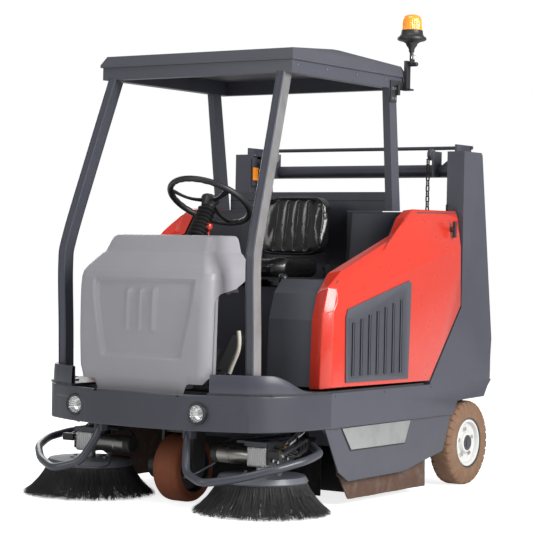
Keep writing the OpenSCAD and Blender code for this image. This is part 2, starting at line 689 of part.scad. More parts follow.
module brush_motor(s) color(silver) on_side(s) {
    difference() {
        block([brush_x - 52, -brush_y - 46, motor_z - 42], [brush_x + 48, -brush_y + 40, motor_z + 46]);
        for (z = [-38, 32]) block([brush_x - 44, -brush_y - 47, motor_z + z],
            [brush_x + 40, -brush_y - 42, motor_z + z + 8]);
    }
    axle(brush_x - 250, brush_x - 52, -brush_y - 2, motor_z, 38);
    axle(brush_x - 160, brush_x - 152, -brush_y - 2, motor_z, 40);
    translate([brush_x, -brush_y, disc_z + 36]) cylinder(h = motor_z - 42 - disc_z - 36, r = 26);
    translate([brush_x, -brush_y, disc_z - 1]) cylinder(h = 40, r = 12);
}
module brush_motor_left() brush_motor(1);
module brush_motor_right() brush_motor(-1);

module brush_disc(s) color(grey) on_side(s) translate([brush_x, -brush_y, 0]) rotate_extrude() {
    polygon([[12 + run_gap, disc_z], [disc_r - 6, disc_z], [disc_r, disc_z + 6], [disc_r - 12, disc_z + 28],
        [60, disc_z + 34], [12 + run_gap, disc_z + 34]]);
}
module brush_disc_left() brush_disc(1);
module brush_disc_right() brush_disc(-1);

module bristles(s) color(black) on_side(s) translate([brush_x, -brush_y, 0]) rotate_extrude() {
    polygon([[110, disc_z], [disc_r - 8, disc_z], [brush_r - 36, 48], [brush_r, 4], [brush_r - 5, 0],
        [brush_r - 60, 0], [brush_r - 100, 30]]);
}
module bristles_left() bristles(1);
module bristles_right() bristles(-1);

// ---- Front drive wheel ----

module front_fork() color(black) translate([0, -steer_axis_y, 0]) {
    translate([0, 0, 320]) cylinder(h = deck_z - 294, r = steer_r - run_gap);
    translate([0, 0, front_wheel_z + front_wheel_d / 2 + 8]) cylinder(h = 16, r = 75);
    x0 = front_wheel_w / 2 + 7;
    block([-x0 - 14, -45, front_wheel_z], [-x0, 45, front_wheel_z + front_wheel_d / 2 + 22]);
    block([x0, -45, front_wheel_z], [x0 + 14, 45, front_wheel_z + front_wheel_d / 2 + 22]);
    for (s = [-1, 1]) axle(min(s * x0, s * (x0 + 14)), max(s * x0, s * (x0 + 14)), 0, front_wheel_z, 45);
    axle(-x0 - 14, x0 + 14, 0, front_wheel_z, 16);
}

// Drive motor that hangs on the fork's right side.
module drive_motor() color(black) translate([0, -steer_axis_y, 0]) {
    x0 = front_wheel_w / 2 + 21;
    axle(-x0 - 66, -x0, 0, front_wheel_z, 58);
    axle(-x0 - 76, -x0 - 66, 0, front_wheel_z, 40);
}

module front_wheel() color([0.35, 0.17, 0.1]) translate([0, -steer_axis_y, front_wheel_z]) rotate([0, 90, 0])
    rotate_extrude($fn = 72) {
        w = front_wheel_w / 2;
        polygon([[16 + run_gap, -w - 6], [44, -w - 6], [44, -w + 22], [front_wheel_d / 2 - 45, -w + 22],
            [front_wheel_d / 2 - 45, -w], [front_wheel_d / 2 - 12, -w], [front_wheel_d / 2, -w + 14],
            [front_wheel_d / 2, w - 14], [front_wheel_d / 2 - 12, w], [front_wheel_d / 2 - 45, w],
            [front_wheel_d / 2 - 45, w - 22], [44, w - 22], [44, w + 6], [16 + run_gap, w + 6]]);
    }

// ---- Main broom ----

module broom_arms() color(charcoal) both() difference() {
    union() {
        side_plate(arm_x0 - 14, arm_x0 - seat_gap) polygon([[broom_y - 34, broom_z - 30],
            [broom_y + 30, broom_z - 34], [arm_pivot_y + 24, arm_pivot_z - 14], [arm_pivot_y + 16,
            arm_pivot_z + 24], [arm_pivot_y - 24, arm_pivot_z + 18], [broom_y - 34, broom_z + 34]]);
    }
    axle(arm_x0 - 20, arm_x0 + 5, arm_pivot_y, arm_pivot_z, 12 + run_gap);
    axle(arm_x0 - 20, arm_x0 + 5, broom_y, broom_z, 14 + run_gap);
}

module main_broom() color(black) {
    axle(-arm_x0 + 2, arm_x0 - 2, broom_y, broom_z, 14);
    axle(-arm_x0 + 14 + seat_gap, arm_x0 - 14 - seat_gap, broom_y, broom_z, broom_d / 2);
}

// ---- Rear wheels ----

module rear_wheel(s) color([0.66, 0.52, 0.38]) on_side(s)
    translate([half_w - 12 - rear_wheel_w, rear_axle_y, wheel_z]) rotate([0, 90, 0]) rotate_extrude($fn = 72) {
        r = rear_wheel_d / 2;
        w = rear_wheel_w;
        polygon([[axle_r + run_gap, 2], [50, 2], [50, 20], [108, 20], [120, 0], [r - 16, 0], [r, 14], [r, w - 14],
            [r - 16, w], [120, w], [108, w - 10], [axle_r + run_gap, w - 10]]);
    }
module rear_wheel_left() rear_wheel(1);
module rear_wheel_right() rear_wheel(-1);

// ---- Side covers ----

hinge_x = half_w - 13;
hinge_z = deck_z + 25;
hinge_pin_r = 5;
hinge_r = 9;
hinge_y = [-250, 250];
hinge_len = 40;
grille = [[-345, 545], [-352, 830], [-338, 862], [185, 985], [205, 970], [190, 541]];
latch_y = 590;
latch_z = 1225;

module side_cover(s) color(red) on_side(s) difference() {
    union() {
        side_plate(half_w - 2, half_w + 3) polygon(outer_outline);
        difference() {
            side_plate(half_w - 85, half_w - 2) difference() {
                polygon(inner_outline);
                offset(delta = -4) polygon(inner_outline);
            }
            block([0, -600, 500], [half_w + 10, 800, 524]);
            block([0, 380, 500], [half_w - 16, 700, 880]);
            block([0, 380, 500], [half_w - 2, 700, hinge_z + 14]);
        }
        side_plate(half_w - 24 + cover_gap, half_w - 2) difference() {
            polygon(inner_outline);
            offset(delta = -44) polygon(inner_outline);
            translate([-600, 400]) square([1400, 180]);
        }
        for (y = hinge_y) {
            translate([hinge_x, y, hinge_z]) rotate([-90, 0, 0]) cylinder(h = hinge_len, r = hinge_r);
            block([hinge_x, y, hinge_z - hinge_r], [half_w - 1, y + hinge_len, hinge_z + hinge_r]);
        }
    }
    for (y = hinge_y) translate([hinge_x, y - 1, hinge_z]) rotate([-90, 0, 0])
        cylinder(h = hinge_len + 2, r = hinge_pin_r + run_gap);
    side_plate(half_w - 60, half_w + 10) offset(delta = -12) polygon(grille);
    axle(half_w - 60, half_w + 10, latch_y, latch_z, 12 + run_gap);
}
module side_cover_left() side_cover(1);
module side_cover_right() side_cover(-1);

module vent_grille(s) color(charcoal) on_side(s) side_plate(half_w + 3 + 0.01, half_w + 9) difference() {
    polygon(grille);
    for (i = [0 : 6]) translate([-305 + i * 68, 572]) square([26, 232 + i * 16]);
}
module vent_grille_left() vent_grille(1);
module vent_grille_right() vent_grille(-1);

module cover_latch(s) color(black) on_side(s) {
    axle(half_w - 16, half_w + 14, latch_y, latch_z, 12);
    block([half_w + 8, latch_y - 9, latch_z - 38], [half_w + 20, latch_y + 9, latch_z + 38]);
}
module cover_latch_left() cover_latch(1);
module cover_latch_right() cover_latch(-1);

main_frame();
front_apron();
side_bands();
floor_platform();
splash_guards();
nose_cover();
dash_panel();
ignition_key();
steering_column();
column_boot();
steering_wheel();
accelerator_pedal();
brake_pedal();
cab_body();
seat_base();
front_posts();
rear_posts();
roof_frame();
roof_panel();
mast_column_left();
mast_column_right();
top_crossbar();
headlights();
headlight_lenses();
side_skirts();
rubber_flaps();
beacon_bracket();
beacon_stem();
beacon_dome();
brush_guards();
brush_arm_left();
brush_arm_right();
brush_motor_left();
brush_motor_right();
brush_disc_left();
brush_disc_right();
bristles_left();
bristles_right();
front_fork();
drive_motor();
front_wheel();
broom_arms();
main_broom();
rear_wheel_left();
rear_wheel_right();
side_cover_left();
side_cover_right();
vent_grille_left();
vent_grille_right();
cover_latch_left();
cover_latch_right();
seat_pan();
seat_cushion();
backrest();
inner_mast();
lift_cylinders();
lift_chains();
hopper_carriage();
hopper_bin();
control_lever();
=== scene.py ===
"""The looks of a ride-on sweeper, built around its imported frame. Metres, +Z up, front towards -Y."""
import math
import random

import bmesh
import bpy
from mathutils import Matrix, Vector, noise


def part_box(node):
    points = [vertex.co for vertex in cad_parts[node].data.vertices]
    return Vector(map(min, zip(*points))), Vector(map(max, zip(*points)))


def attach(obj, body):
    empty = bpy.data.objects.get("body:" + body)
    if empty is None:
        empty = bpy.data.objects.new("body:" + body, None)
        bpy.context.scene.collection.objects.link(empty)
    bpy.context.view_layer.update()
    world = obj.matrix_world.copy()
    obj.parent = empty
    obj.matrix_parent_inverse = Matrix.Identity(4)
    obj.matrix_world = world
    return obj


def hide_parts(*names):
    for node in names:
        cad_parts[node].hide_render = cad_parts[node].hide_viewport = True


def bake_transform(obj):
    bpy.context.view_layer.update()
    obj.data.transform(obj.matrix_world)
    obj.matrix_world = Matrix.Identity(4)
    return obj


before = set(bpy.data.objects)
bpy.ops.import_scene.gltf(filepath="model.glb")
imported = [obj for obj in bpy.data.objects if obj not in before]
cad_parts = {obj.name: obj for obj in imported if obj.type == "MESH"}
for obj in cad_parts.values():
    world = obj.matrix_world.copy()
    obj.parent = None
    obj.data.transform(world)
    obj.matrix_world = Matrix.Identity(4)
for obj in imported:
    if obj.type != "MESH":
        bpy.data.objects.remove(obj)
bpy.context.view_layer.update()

# ---- Camera -------------------------------------------------------------------------------------
# A long lens stands about nine metres off, ahead of the machine and to the driver's left of it, at the
# height of the hood. It looks almost level, with a slight roll.
cam_place = Vector((5.0034, -7.3363, 1.0985))
cam_yaw, cam_pitch, cam_roll = (math.radians(a) for a in (34.4722, 0.4043, 1.1378))
ahead = Vector((-math.sin(cam_yaw) * math.cos(cam_pitch), math.cos(cam_yaw) * math.cos(cam_pitch),
                -math.sin(cam_pitch)))
level_right = Vector((math.cos(cam_yaw), math.sin(cam_yaw), 0))
level_up = level_right.cross(ahead)
right = level_right * math.cos(cam_roll) + level_up * math.sin(cam_roll)
up = right.cross(ahead)
camera_data = bpy.data.cameras.new("camera")
camera_data.sensor_width = 36
camera_data.lens = 128.85
camera_data.shift_x = 0.0156
camera_data.shift_y = -0.0007
camera_data.clip_end = 60
camera = bpy.data.objects.new("camera", camera_data)
camera.matrix_world = Matrix.Translation(cam_place) @ Matrix((right, up, -ahead)).transposed().to_4x4()
bpy.context.scene.collection.objects.link(camera)
bpy.context.scene.camera = camera


# ---- Nose cover ---------------------------------------------------------------------------------
# One rotomoulded polyethylene hood. It is screwed to the dash tower behind it, its lower lip hangs over
# the apron, and its face carries a shallow inset panel with three upright ribs moulded in.
class Value:
    """One socket of a finish, so that shader maths reads as an expression."""

    def __init__(self, finish, socket):
        self.finish = finish
        self.socket = socket

    def maths(self, operation, *others, clamp=False):
        return self.finish.node("ShaderNodeMath", {"operation": operation, "use_clamp": clamp},
                                dict(enumerate((self,) + others)))

    def __add__(self, other):
        return self.maths("ADD", other)

    def __sub__(self, other):
        return self.maths("SUBTRACT", other)

    def __rsub__(self, other):
        return (self * -1).maths("ADD", other)

    def __mul__(self, other):
        return self.maths("MULTIPLY", other)

    __radd__ = __add__
    __rmul__ = __mul__

    def ramp(self, low, high, soft=True):
        """0 where the value is under low, 1 where it is over high."""
        kind = "SMOOTHSTEP" if soft else "LINEAR"
        return self.finish.node("ShaderNodeMapRange", {"interpolation_type": kind, "clamp": True},
                                {"Value": self, "From Min": low, "From Max": high})


class Finish:
    """A material with one Principled shader, whose coordinates are the piece's own."""

    def __init__(self, name, colour, rough=0.5, metal=0.0, coat=0.0, coat_rough=0.1, specular=0.5):
        self.material = bpy.data.materials.new(name)
        self.material.use_nodes = True
        self.tree = self.material.node_tree
        self.shader = self.tree.nodes["Principled BSDF"]
        self.colour = (*colour, 1)
        self.set("Base Color", self.colour)
        self.set("Roughness", rough)
        self.set("Metallic", metal)
        self.set("Coat Weight", coat)
        self.set("Coat Roughness", coat_rough)
        self.set("Specular IOR Level", specular)
        self.place = self.node("ShaderNodeTexCoord", out="Object")

    def node(self, kind, settings=None, inputs=None, out=0):
        made = self.tree.nodes.new(kind)
        for key, value in (settings or {}).items():
            setattr(made, key, value)
        for key, value in (inputs or {}).items():
            if isinstance(value, Value):
                self.tree.links.new(value.socket, made.inputs[key])
            else:
                made.inputs[key].default_value = value
        return Value(self, made.outputs[out])

    def set(self, socket, value):
        if isinstance(value, Value):
            self.tree.links.new(value.socket, self.shader.inputs[socket])
        else:
            self.shader.inputs[socket].default_value = value

    def noise(self, scale, detail=3.0, rough=0.5, stretch=(1, 1, 1)):
        spot = self.node("ShaderNodeMapping", inputs={"Vector": self.place, "Scale": stretch})
        return self.node("ShaderNodeTexNoise", inputs={"Vector": spot, "Scale": scale, "Detail": detail,
                                                       "Roughness": rough})

    def mix(self, factor, a, b):
        made = self.node("ShaderNodeMix", {"data_type": "RGBA"}, {0: factor}, out=2)
        node = made.socket.node
        for socket, colour in ((node.inputs[6], a), (node.inputs[7], b)):
            if isinstance(colour, Value):
                self.tree.links.new(colour.socket, socket)
            else:
                socket.default_value = (*colour[:3], 1)
        return made

    def bump(self, height, strength=0.2, distance=0.001):
        self.set("Normal", self.node("ShaderNodeBump", inputs={"Height": height, "Strength": strength,
                                                               "Distance": distance}))

    def wear(self):
        """1 on sharp outer edges, 0 on open faces."""
        point = self.node("ShaderNodeNewGeometry", out="Pointiness")
        return point.ramp(0.53, 0.62)


def painted(name, colour, rough=0.42, peel=0.06, dust=0.12, coat=0.0, edge=0.25):
    """Powder coat or moulded plastic: slight orange peel, clouded gloss, a film of dust, lighter edges."""
    made = Finish(name, colour, rough, coat=coat)
    cloud = made.noise(6.0, 4.0)
    specks = made.noise(900.0, 2.0)
    shade = made.mix(cloud.ramp(0.35, 0.7) * dust, colour, [min(1, c * 1.5 + 0.02) for c in colour])
    made.set("Base Color", made.mix(made.wear() * edge, shade, [min(1, c * 1.9 + 0.05) for c in colour]))
    made.set("Roughness", made.noise(14.0, 3.0) * 0.16 + (rough - 0.08))
    made.bump(specks, peel, 0.0006)
    return made.material


hood_grey = painted("grey_plastic", (0.300, 0.294, 0.316), 0.42, peel=0.1, dust=0.06)


def smooth(low, high, value):
    t = min(1, max(0, (value - low) / (high - low)))
    return t * t * (3 - 2 * t)


def mesh_piece(name, verts, faces, material, flat=False):
    """A new mesh object, with its normals turned outwards."""
    mesh = bpy.data.meshes.new(name)
    mesh.from_pydata([tuple(v) for v in verts], [], faces)
    work = bmesh.new()
    work.from_mesh(mesh)
    bmesh.ops.remove_doubles(work, verts=work.verts, dist=0.00002)
    bmesh.ops.recalc_face_normals(work, faces=work.faces)
    work.to_mesh(mesh)
    work.free()
    for polygon in mesh.polygons:
        polygon.use_smooth = not flat
    mesh.materials.append(material)
    piece = bpy.data.objects.new(name, mesh)
    bpy.context.scene.collection.objects.link(piece)
    return piece


def grid_faces(rows, columns, closed=False):
    """Faces of a grid of vertices given row by row; closed joins the last column to the first."""
    last = columns if closed else columns - 1
    return [(r * columns + c, r * columns + (c + 1) % columns, (r + 1) * columns + (c + 1) % columns,
             (r + 1) * columns + c) for r in range(rows - 1) for c in range(last)]


def modify(piece, kind, **settings):
    """Adds a modifier and applies it at once, so that the piece's mesh is final."""
    change = piece.modifiers.new(kind.lower(), kind)
    for key, value in settings.items():
        setattr(change, key, value)
    depsgraph = bpy.context.evaluated_depsgraph_get()
    final = bpy.data.meshes.new_from_object(piece.evaluated_get(depsgraph))
    piece.modifiers.clear()
    old = piece.data
    piece.data = final
    bpy.data.meshes.remove(old)
    return piece


def placed(piece, body, slot, *nodes, crisp=None):
    """Finishes a piece: rides on its body and stands for its CAD nodes; its slot is not used."""
    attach(piece, body)
    if nodes:
        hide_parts(*nodes)
    if crisp:
        piece.data.set_sharp_from_angle(angle=math.radians(crisp))
    return piece


def between(table, key):
    """The row of numbers at a key, between the rows of a short table sorted by its first column."""
    for low, high in zip(table, table[1:]):
        if key <= high[0]:
            t = (key - low[0]) / (high[0] - low[0])
            return [a + (b - a) * t for a, b in zip(low[1:], high[1:])]
    return list(table[-1][1:])


hood_wall = 0.006
# Height, half width, face, corner radius, rear edge.
hood_rows = [(0.000, 0.347, -0.917, 0.055, -0.880), (0.060, 0.352, -0.926, 0.060, -0.884),
             (0.250, 0.358, -0.931, 0.060, -0.886), (0.400, 0.360, -0.928, 0.058, -0.884),
             (0.428, 0.360, -0.926, 0.056, -0.850), (0.450, 0.360, -0.924, 0.055, -0.735),
             (0.490, 0.359, -0.918, 0.052, -0.655), (0.515, 0.355, -0.909, 0.050, -0.635),
             (0.540, 0.343, -0.892, 0.050, -0.620), (0.570, 0.322, -0.866, 0.050, -0.610),
             (0.592, 0.305, -0.846, 0.048, -0.607), (0.600, 0.296, -0.836, 0.045, -0.606),
             (0.606, 0.291, -0.831, 0.043, -0.606), (0.650, 0.281, -0.806, 0.040, -0.607),
             (0.666, 0.276, -0.796, 0.040, -0.609), (0.674, 0.268, -0.784, 0.040, -0.612),
             (0.676, 0.262, -0.770, 0.040, -0.616), (0.672, 0.258, -0.640, 0.010, -0.618)]
hood_heights = sorted({round(i * 0.006, 4) for i in range(113)} | {r[0] for r in hood_rows[:-1]})


def hood_ring(row, columns=112):
    """Plan view points from the right rear edge, round the front, to the left rear edge."""
    width, face, corner, rear = row
    straight = 12
    arc = 12
    across = columns - 2 * straight - 2 * arc
    points = [(-width, rear + (face + corner - rear) * i / straight) for i in range(straight)]
    for i in range(arc):
        a = math.pi / 2 * i / arc
        points.append((-width + corner - corner * math.cos(a), face + corner - corner * math.sin(a)))
    for i in range(across + 1):
        x = (width - corner) * (2 * i / across - 1)
        points.append((x, face - 0.014 * (1 - (x / (width - corner)) ** 2)))
    return points + [(-x, y) for x, y in reversed(points[:straight + arc])]


def hood_relief(x, z):
    """How far the face is pushed in, for the inset panel, and out, for the ribs."""
    top, low = 0.985, 0.642
    half = 0.205 + 0.065 * smooth(low - 0.1, top, z)
    inside = min(half - abs(x - 0.01), top - z, z - low)
    depth = 0.013 * smooth(0.0, 0.020, inside)
    for rib in (-0.066, 0.002, 0.070):
        end = min(max(z, 0.765), 0.925)
        away = math.hypot(x - rib, z - end)
        depth -= 0.009 * (1 - smooth(0.006, 0.017, away))
    return depth


hood_verts = []
lip_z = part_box("nose_cover")[0].z
for height in hood_heights + ["lid"]:
    row = list(hood_rows[-1][1:]) if height == "lid" else between(hood_rows[:-1], height)
    level = hood_rows[-1][0] if height == "lid" else height
    for x, y in hood_ring(row):
        foot = lip_z + 0.050 * smooth(0.222, 0.252, abs(x)) + 0.030 * smooth(0.318, 0.345, abs(x))
        z = lip_z + level
        if level < 0.12:
            z = foot + (lip_z + 0.12 - foot) * level / 0.12
        if y < row[1] + 0.03 and level < 0.55:
            y += hood_relief(x, z)
        hood_verts.append((x, y, z))
hood_columns = len(hood_ring(hood_rows[0][1:]))
hood = mesh_piece("nose_hood", hood_verts, grid_faces(len(hood_heights) + 1, hood_columns), hood_grey)
modify(hood, "SOLIDIFY", thickness=hood_wall, offset=-1)
placed(hood, "chassis", "grey_plastic", "nose_cover", crisp=50)


# ---- Finishes of the plain pieces ---------------------------------------------------------------
# Folded steel, turned parts and simple mouldings keep the shape that the frame gives them. Each gets its
# finish, and its edges are broken by the radius that bending, casting or moulding leaves on them.
charcoal = painted("charcoal_paint", (0.043, 0.045, 0.060), 0.38, dust=0.10)
charcoal_moulded = painted("charcoal_plastic", (0.045, 0.047, 0.060), 0.48, peel=0.12)
satin_black = painted("black_paint", (0.014, 0.014, 0.016), 0.38, dust=0.08)
black_moulded = painted("black_plastic", (0.017, 0.017, 0.019), 0.45, peel=0.16, dust=0.1)


def metal(name, colour, rough, brushed=(1, 1, 1), strength=0.15):
    """Bare metal with a drawn or cast grain in its roughness."""
    made = Finish(name, colour, rough, metal=1.0)
    grain = made.noise(160.0, 4.0, 0.6, brushed)
    made.set("Roughness", grain * 0.3 + (rough - 0.12))
    stain = made.noise(9.0).ramp(0.4, 0.75) * 0.5
    made.set("Base Color", made.mix(stain, colour, [c * 0.62 for c in colour]))
    made.bump(grain, strength, 0.0008)
    return made.material


drawn_steel = metal("brushed_steel", (0.56, 0.57, 0.57), 0.32, (0.05, 1, 1))
chain_steel = metal("chain_steel", (0.13, 0.125, 0.12), 0.42)

edge_radius = {charcoal: 0.0016, satin_black: 0.0014, black_moulded: 0.003, charcoal_moulded: 0.003}
plain_pieces = {
    charcoal: ["main_frame", "side_bands", "splash_guards", "front_posts", "rear_posts", "roof_frame",
               "mast_column_left", "mast_column_right", "top_crossbar", "side_skirts", "inner_mast",
               "brush_arm_left", "brush_arm_right", "broom_arms", "hopper_carriage", "seat_base"],
    charcoal_moulded: ["cab_body", "hopper_bin", "vent_grille_left", "vent_grille_right"],
    black_moulded: ["floor_platform", "dash_panel"],
    satin_black: ["steering_column", "accelerator_pedal", "brake_pedal", "beacon_bracket",
                  "front_fork", "drive_motor", "seat_pan", "control_lever", "lift_cylinders", "beacon_stem"],
    drawn_steel: ["ignition_key"],
    chain_steel: ["lift_chains"]}


def break_edges(piece, radius, segments=2):
    """Joins the frame's triangles into flat faces and rounds the edges between them."""
    flat = piece.modifiers.new("flat", "DECIMATE")
    flat.decimate_type = "DISSOLVE"
    flat.angle_limit = math.radians(0.6)
    bevel = piece.modifiers.new("edges", "BEVEL")
    bevel.width = radius
    bevel.segments = segments
    bevel.limit_method = "ANGLE"
    bevel.angle_limit = math.radians(40)
    bevel.harden_normals = True


def finish_node(name, material, radius=0.0):
    """Gives a frame node its material in place of the record's plain colour."""
    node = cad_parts[name]
    node.data.materials.clear()
    node.data.materials.append(material)
    if radius:
        break_edges(node, radius)


for material, names in plain_pieces.items():
    for name in names:
        finish_node(name, material, edge_radius.get(material, 0.001))


# ---- Side covers and their vents ----------------------------------------------------------------
# Each flank is one red cover on two hinges, moulded with a return edge that meets the cab, a rolled
# shoulder and a fold across its side. A louvred vent is screwed on, and a quarter-turn latch holds it.
cover_red = painted("red_plastic", (0.57, 0.030, 0.013), 0.30, peel=0.03, dust=0.03, coat=0.5, edge=0.12)
cover_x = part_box("side_cover_left")[1].x
# Points (y, z) of the edge against the cab, of the rolled shoulder and of the side face.
cover_inner = [(-0.489, 0.519), (-0.479, 0.815), (-0.441, 0.930), (-0.357, 1.016), (0.155, 1.189),
               (0.216, 1.272), (0.280, 1.307), (0.679, 1.313), (0.688, 0.866), (0.398, 0.519)]
cover_shoulder = [(-0.494, 0.521), (-0.482, 0.840), (-0.442, 0.956), (-0.335, 1.028), (0.145, 1.194),
                  (0.207, 1.277), (0.272, 1.312), (0.681, 1.314), (0.690, 0.866), (0.399, 0.518)]
cover_side = [(-0.451, 0.528), (-0.439, 0.860), (-0.394, 0.950), (-0.300, 0.991), (-0.032, 1.108),
              (0.070, 1.192), (0.175, 1.255), (0.670, 1.276), (0.688, 0.866), (0.398, 0.522)]
cover_fold = [(-0.418, 0.892), (0.338, 1.071), (0.676, 1.144)]
inner_x, shoulder_x, lean = 0.088, 0.034, 0.016


def cover_mesh(side):
    rings = [[(cover_x - inner_x, y, z) for y, z in cover_inner],
             [(cover_x - shoulder_x, y, z) for y, z in cover_shoulder],
             [(cover_x - (lean if 2 <= i <= 7 else 0), y, z) for i, (y, z) in enumerate(cover_side)],
             [(cover_x + 0.001, y, z) for y, z in cover_fold]]
    verts = [(side * x, y, z) for ring in rings for x, y, z in ring]
    count = len(cover_inner)
    faces = grid_faces(3, count, closed=True)
    c, f = 2 * count, 3 * count
    faces += [(c, c + 1, f, f + 1, f + 2, c + 8, c + 9), (c + 1, c + 2, f), (f, c + 2, c + 3),
              (f, c + 3, c + 4, f + 1), (c + 4, c + 5, c + 6, f + 1), (f + 1, c + 6, c + 7, f + 2),
              (f + 2, c + 7, c + 8)]
    return verts, faces


def vent_shade_sheet(side):
    """A black sheet behind the louvres: painted shade that shows between them."""
    outline = [(-0.335, 0.556), (-0.342, 0.828), (-0.330, 0.852), (0.183, 0.973), (0.194, 0.963),
               (0.180, 0.553)]
    return [(side * (cover_x + 0.0016), y, z) for y, z in outline], [tuple(range(len(outline)))]


both_sides = (("left", 1), ("right", -1))
for name, side in both_sides:
    cover = mesh_piece("cover_" + name, *cover_mesh(side), cover_red)
    modify(cover, "BEVEL", width=0.010, segments=4, limit_method="ANGLE", angle_limit=math.radians(8),
           harden_normals=True, loop_slide=True)
    modify(cover, "SOLIDIFY", thickness=0.004, offset=-1)
    placed(cover, "cover_" + name, "red_plastic", "side_cover_" + name, crisp=30)
    # A black sheet gives the painted shade between the louvres.
    slot_shade = mesh_piece("vent_slot_shade_" + name, *vent_shade_sheet(side), satin_black, flat=True)
    placed(slot_shade, "cover_" + name, "black_plastic")
    # Seven slanted blades fill the vent behind its frame.
    blades, blade_faces = [], []
    for i in range(7):
        y = -0.305 + i * 0.068
        top = 0.572 + 0.232 + i * 0.016
        base = len(blades)
        for z in (0.573, top):
            blades += [(side * (cover_x + 0.0020), y + 0.024, z), (side * (cover_x + 0.0052), y + 0.013, z),
                       (side * (cover_x + 0.0060), y + 0.015, z), (side * (cover_x + 0.0028), y + 0.026, z)]
        blade_faces += [tuple(base + (k, (k + 1) % 4, 4 + (k + 1) % 4, 4 + k)[j] for j in range(4))
                        for k in range(4)]
        blade_faces += [(base, base + 1, base + 2, base + 3), (base + 4, base + 5, base + 6, base + 7)]
    louvres = mesh_piece("vent_louvres_" + name, blades, blade_faces, charcoal_moulded, flat=True)
    placed(louvres, "cover_" + name, "charcoal_plastic")
    finish_node("cover_latch_" + name, satin_black, 0.003)


# ---- Side brush bristles ------------------------------------------------------------------------
# Polypropylene bristles are stapled in tufts round the rim of each brush plate. They splay outwards and
# bend under the machine's weight, so the ends lie on the floor at slightly different lengths.
bristle_black = painted("bristle", (0.018, 0.017, 0.017), 0.5, peel=0.0, dust=0.3)
disc_grey = painted("disc_plastic", (0.10, 0.108, 0.125), 0.36, peel=0.08)


def bmesh_piece(name, work, material):
    """Turns a finished bmesh into a piece of one material."""
    mesh = bpy.data.meshes.new(name)
    work.to_mesh(mesh)
    work.free()
    mesh.materials.append(material)
    piece = bpy.data.objects.new(name, mesh)
    bpy.context.scene.collection.objects.link(piece)
    return piece


def small_bolts(name, spots, axis, radius, depth, material, segments=6, taper=0.92):
    """Bolt heads in one piece. Each spot is the centre of a head."""
    turn = {"X": Matrix.Rotation(math.pi / 2, 4, "Y"), "Y": Matrix.Rotation(math.pi / 2, 4, "X"),
            "Z": Matrix.Identity(4)}[axis]
    work = bmesh.new()
    for spot in spots:
        bmesh.ops.create_cone(work, cap_ends=True, segments=segments, radius1=radius, radius2=radius * taper,
                              depth=depth, matrix=Matrix.Translation(spot) @ turn)
    return bmesh_piece(name, work, material)


def bristle_mesh(seed, centre, inner, outer, root_z, tufts, hairs, width):
    draw = random.Random(seed)
    verts, faces = [], []
    for tuft in range(tufts):
        row = tuft % 3
        tuft_angle = 2 * math.pi * (tuft + 0.3 * row) / tufts
        tuft_lean = draw.gauss(0, 0.035)
        for _ in range(hairs):
            angle = tuft_angle + draw.gauss(0, 0.014)
            lean_now = tuft_lean + draw.gauss(0, 0.045)
            reach = outer * draw.uniform(0.90, 1.0) - 0.016 * row
            start = inner - 0.011 * row + draw.gauss(0, 0.002)
            drop = draw.uniform(0.0, 0.012) + 0.004 * row
            base = len(verts)
            for step in range(5):
                t = step / 4
                r = start + (reach - start) * (0.72 * t + 0.28 * t * t)
                z = root_z + (drop - root_z) * (1 - (1 - t) ** 1.2)
                a = angle + lean_now * t * t
                thick = width * (1 - 0.55 * t)
                spot = Vector((centre[0] + r * math.cos(a), centre[1] + r * math.sin(a), max(z, 0.0006)))
                across = Vector((-math.sin(a), math.cos(a), 0))
                verts += [spot - across * thick, spot + across * thick, spot + Vector((0, 0, thick * 1.2))]
            faces += [(base + 3 * s + k, base + 3 * s + (k + 1) % 3, base + 3 * s + 3 + (k + 1) % 3,
                       base + 3 * s + 3 + k) for s in range(4) for k in range(3)]
    return verts, faces


tuft_hairs = 18
for name in ("left", "right"):
    low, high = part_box("bristles_" + name)
    middle = (low + high) / 2
    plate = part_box("brush_disc_" + name)
    inner_r = (plate[1].x - plate[0].x) / 2 - 0.012
    outer_r = (high.x - low.x) / 2 - 0.001
    sweep = bristle_mesh("brush " + name, middle, inner_r, outer_r, plate[0].z + 0.004, 330, tuft_hairs,
                         0.0011)
    brush = mesh_piece("bristle_sweep_" + name, *sweep, bristle_black)
    placed(brush, "brush_" + name, "bristle", "bristles_" + name)
    finish_node("brush_disc_" + name, disc_grey)
    # Short screws clamp the plate to its hub.
    ring = [(middle.x + 0.085 * math.cos(math.pi / 3 * i), middle.y + 0.085 * math.sin(math.pi / 3 * i),
             plate[1].z + 0.001) for i in range(6)]
    screws = small_bolts("brush_bolts_" + name, ring, "Z", 0.008, 0.010, drawn_steel, taper=1)
    placed(screws, "brush_" + name, "chrome_trim")


# ---- Rear wheels --------------------------------------------------------------------------------
# Cushion tyres with shoulder blocks, pressed on a dished rim. A bright band runs round the rim, and a
# hub with five nuts stands in its middle.
def elastomer(name, colour, rough=0.75, worn=0.3, dusty=(0.34, 0.31, 0.28)):
    """Rubber: matt, mottled, with dust on it and a fine grain."""
    made = Finish(name, colour, rough, specular=0.3)
    patches = made.noise(18.0, 5.0, 0.6)
    made.set("Base Color", made.mix(patches.ramp(0.45, 0.8) * worn, colour, dusty))
    made.set("Roughness", made.noise(60.0) * 0.2 + (rough - 0.1))
    made.bump(made.noise(420.0, 4.0), 0.25, 0.0008)
    return made.material


tan_rubber = elastomer("tan_tyre", (0.205, 0.118, 0.072), 0.8, 0.5, (0.30, 0.215, 0.155))


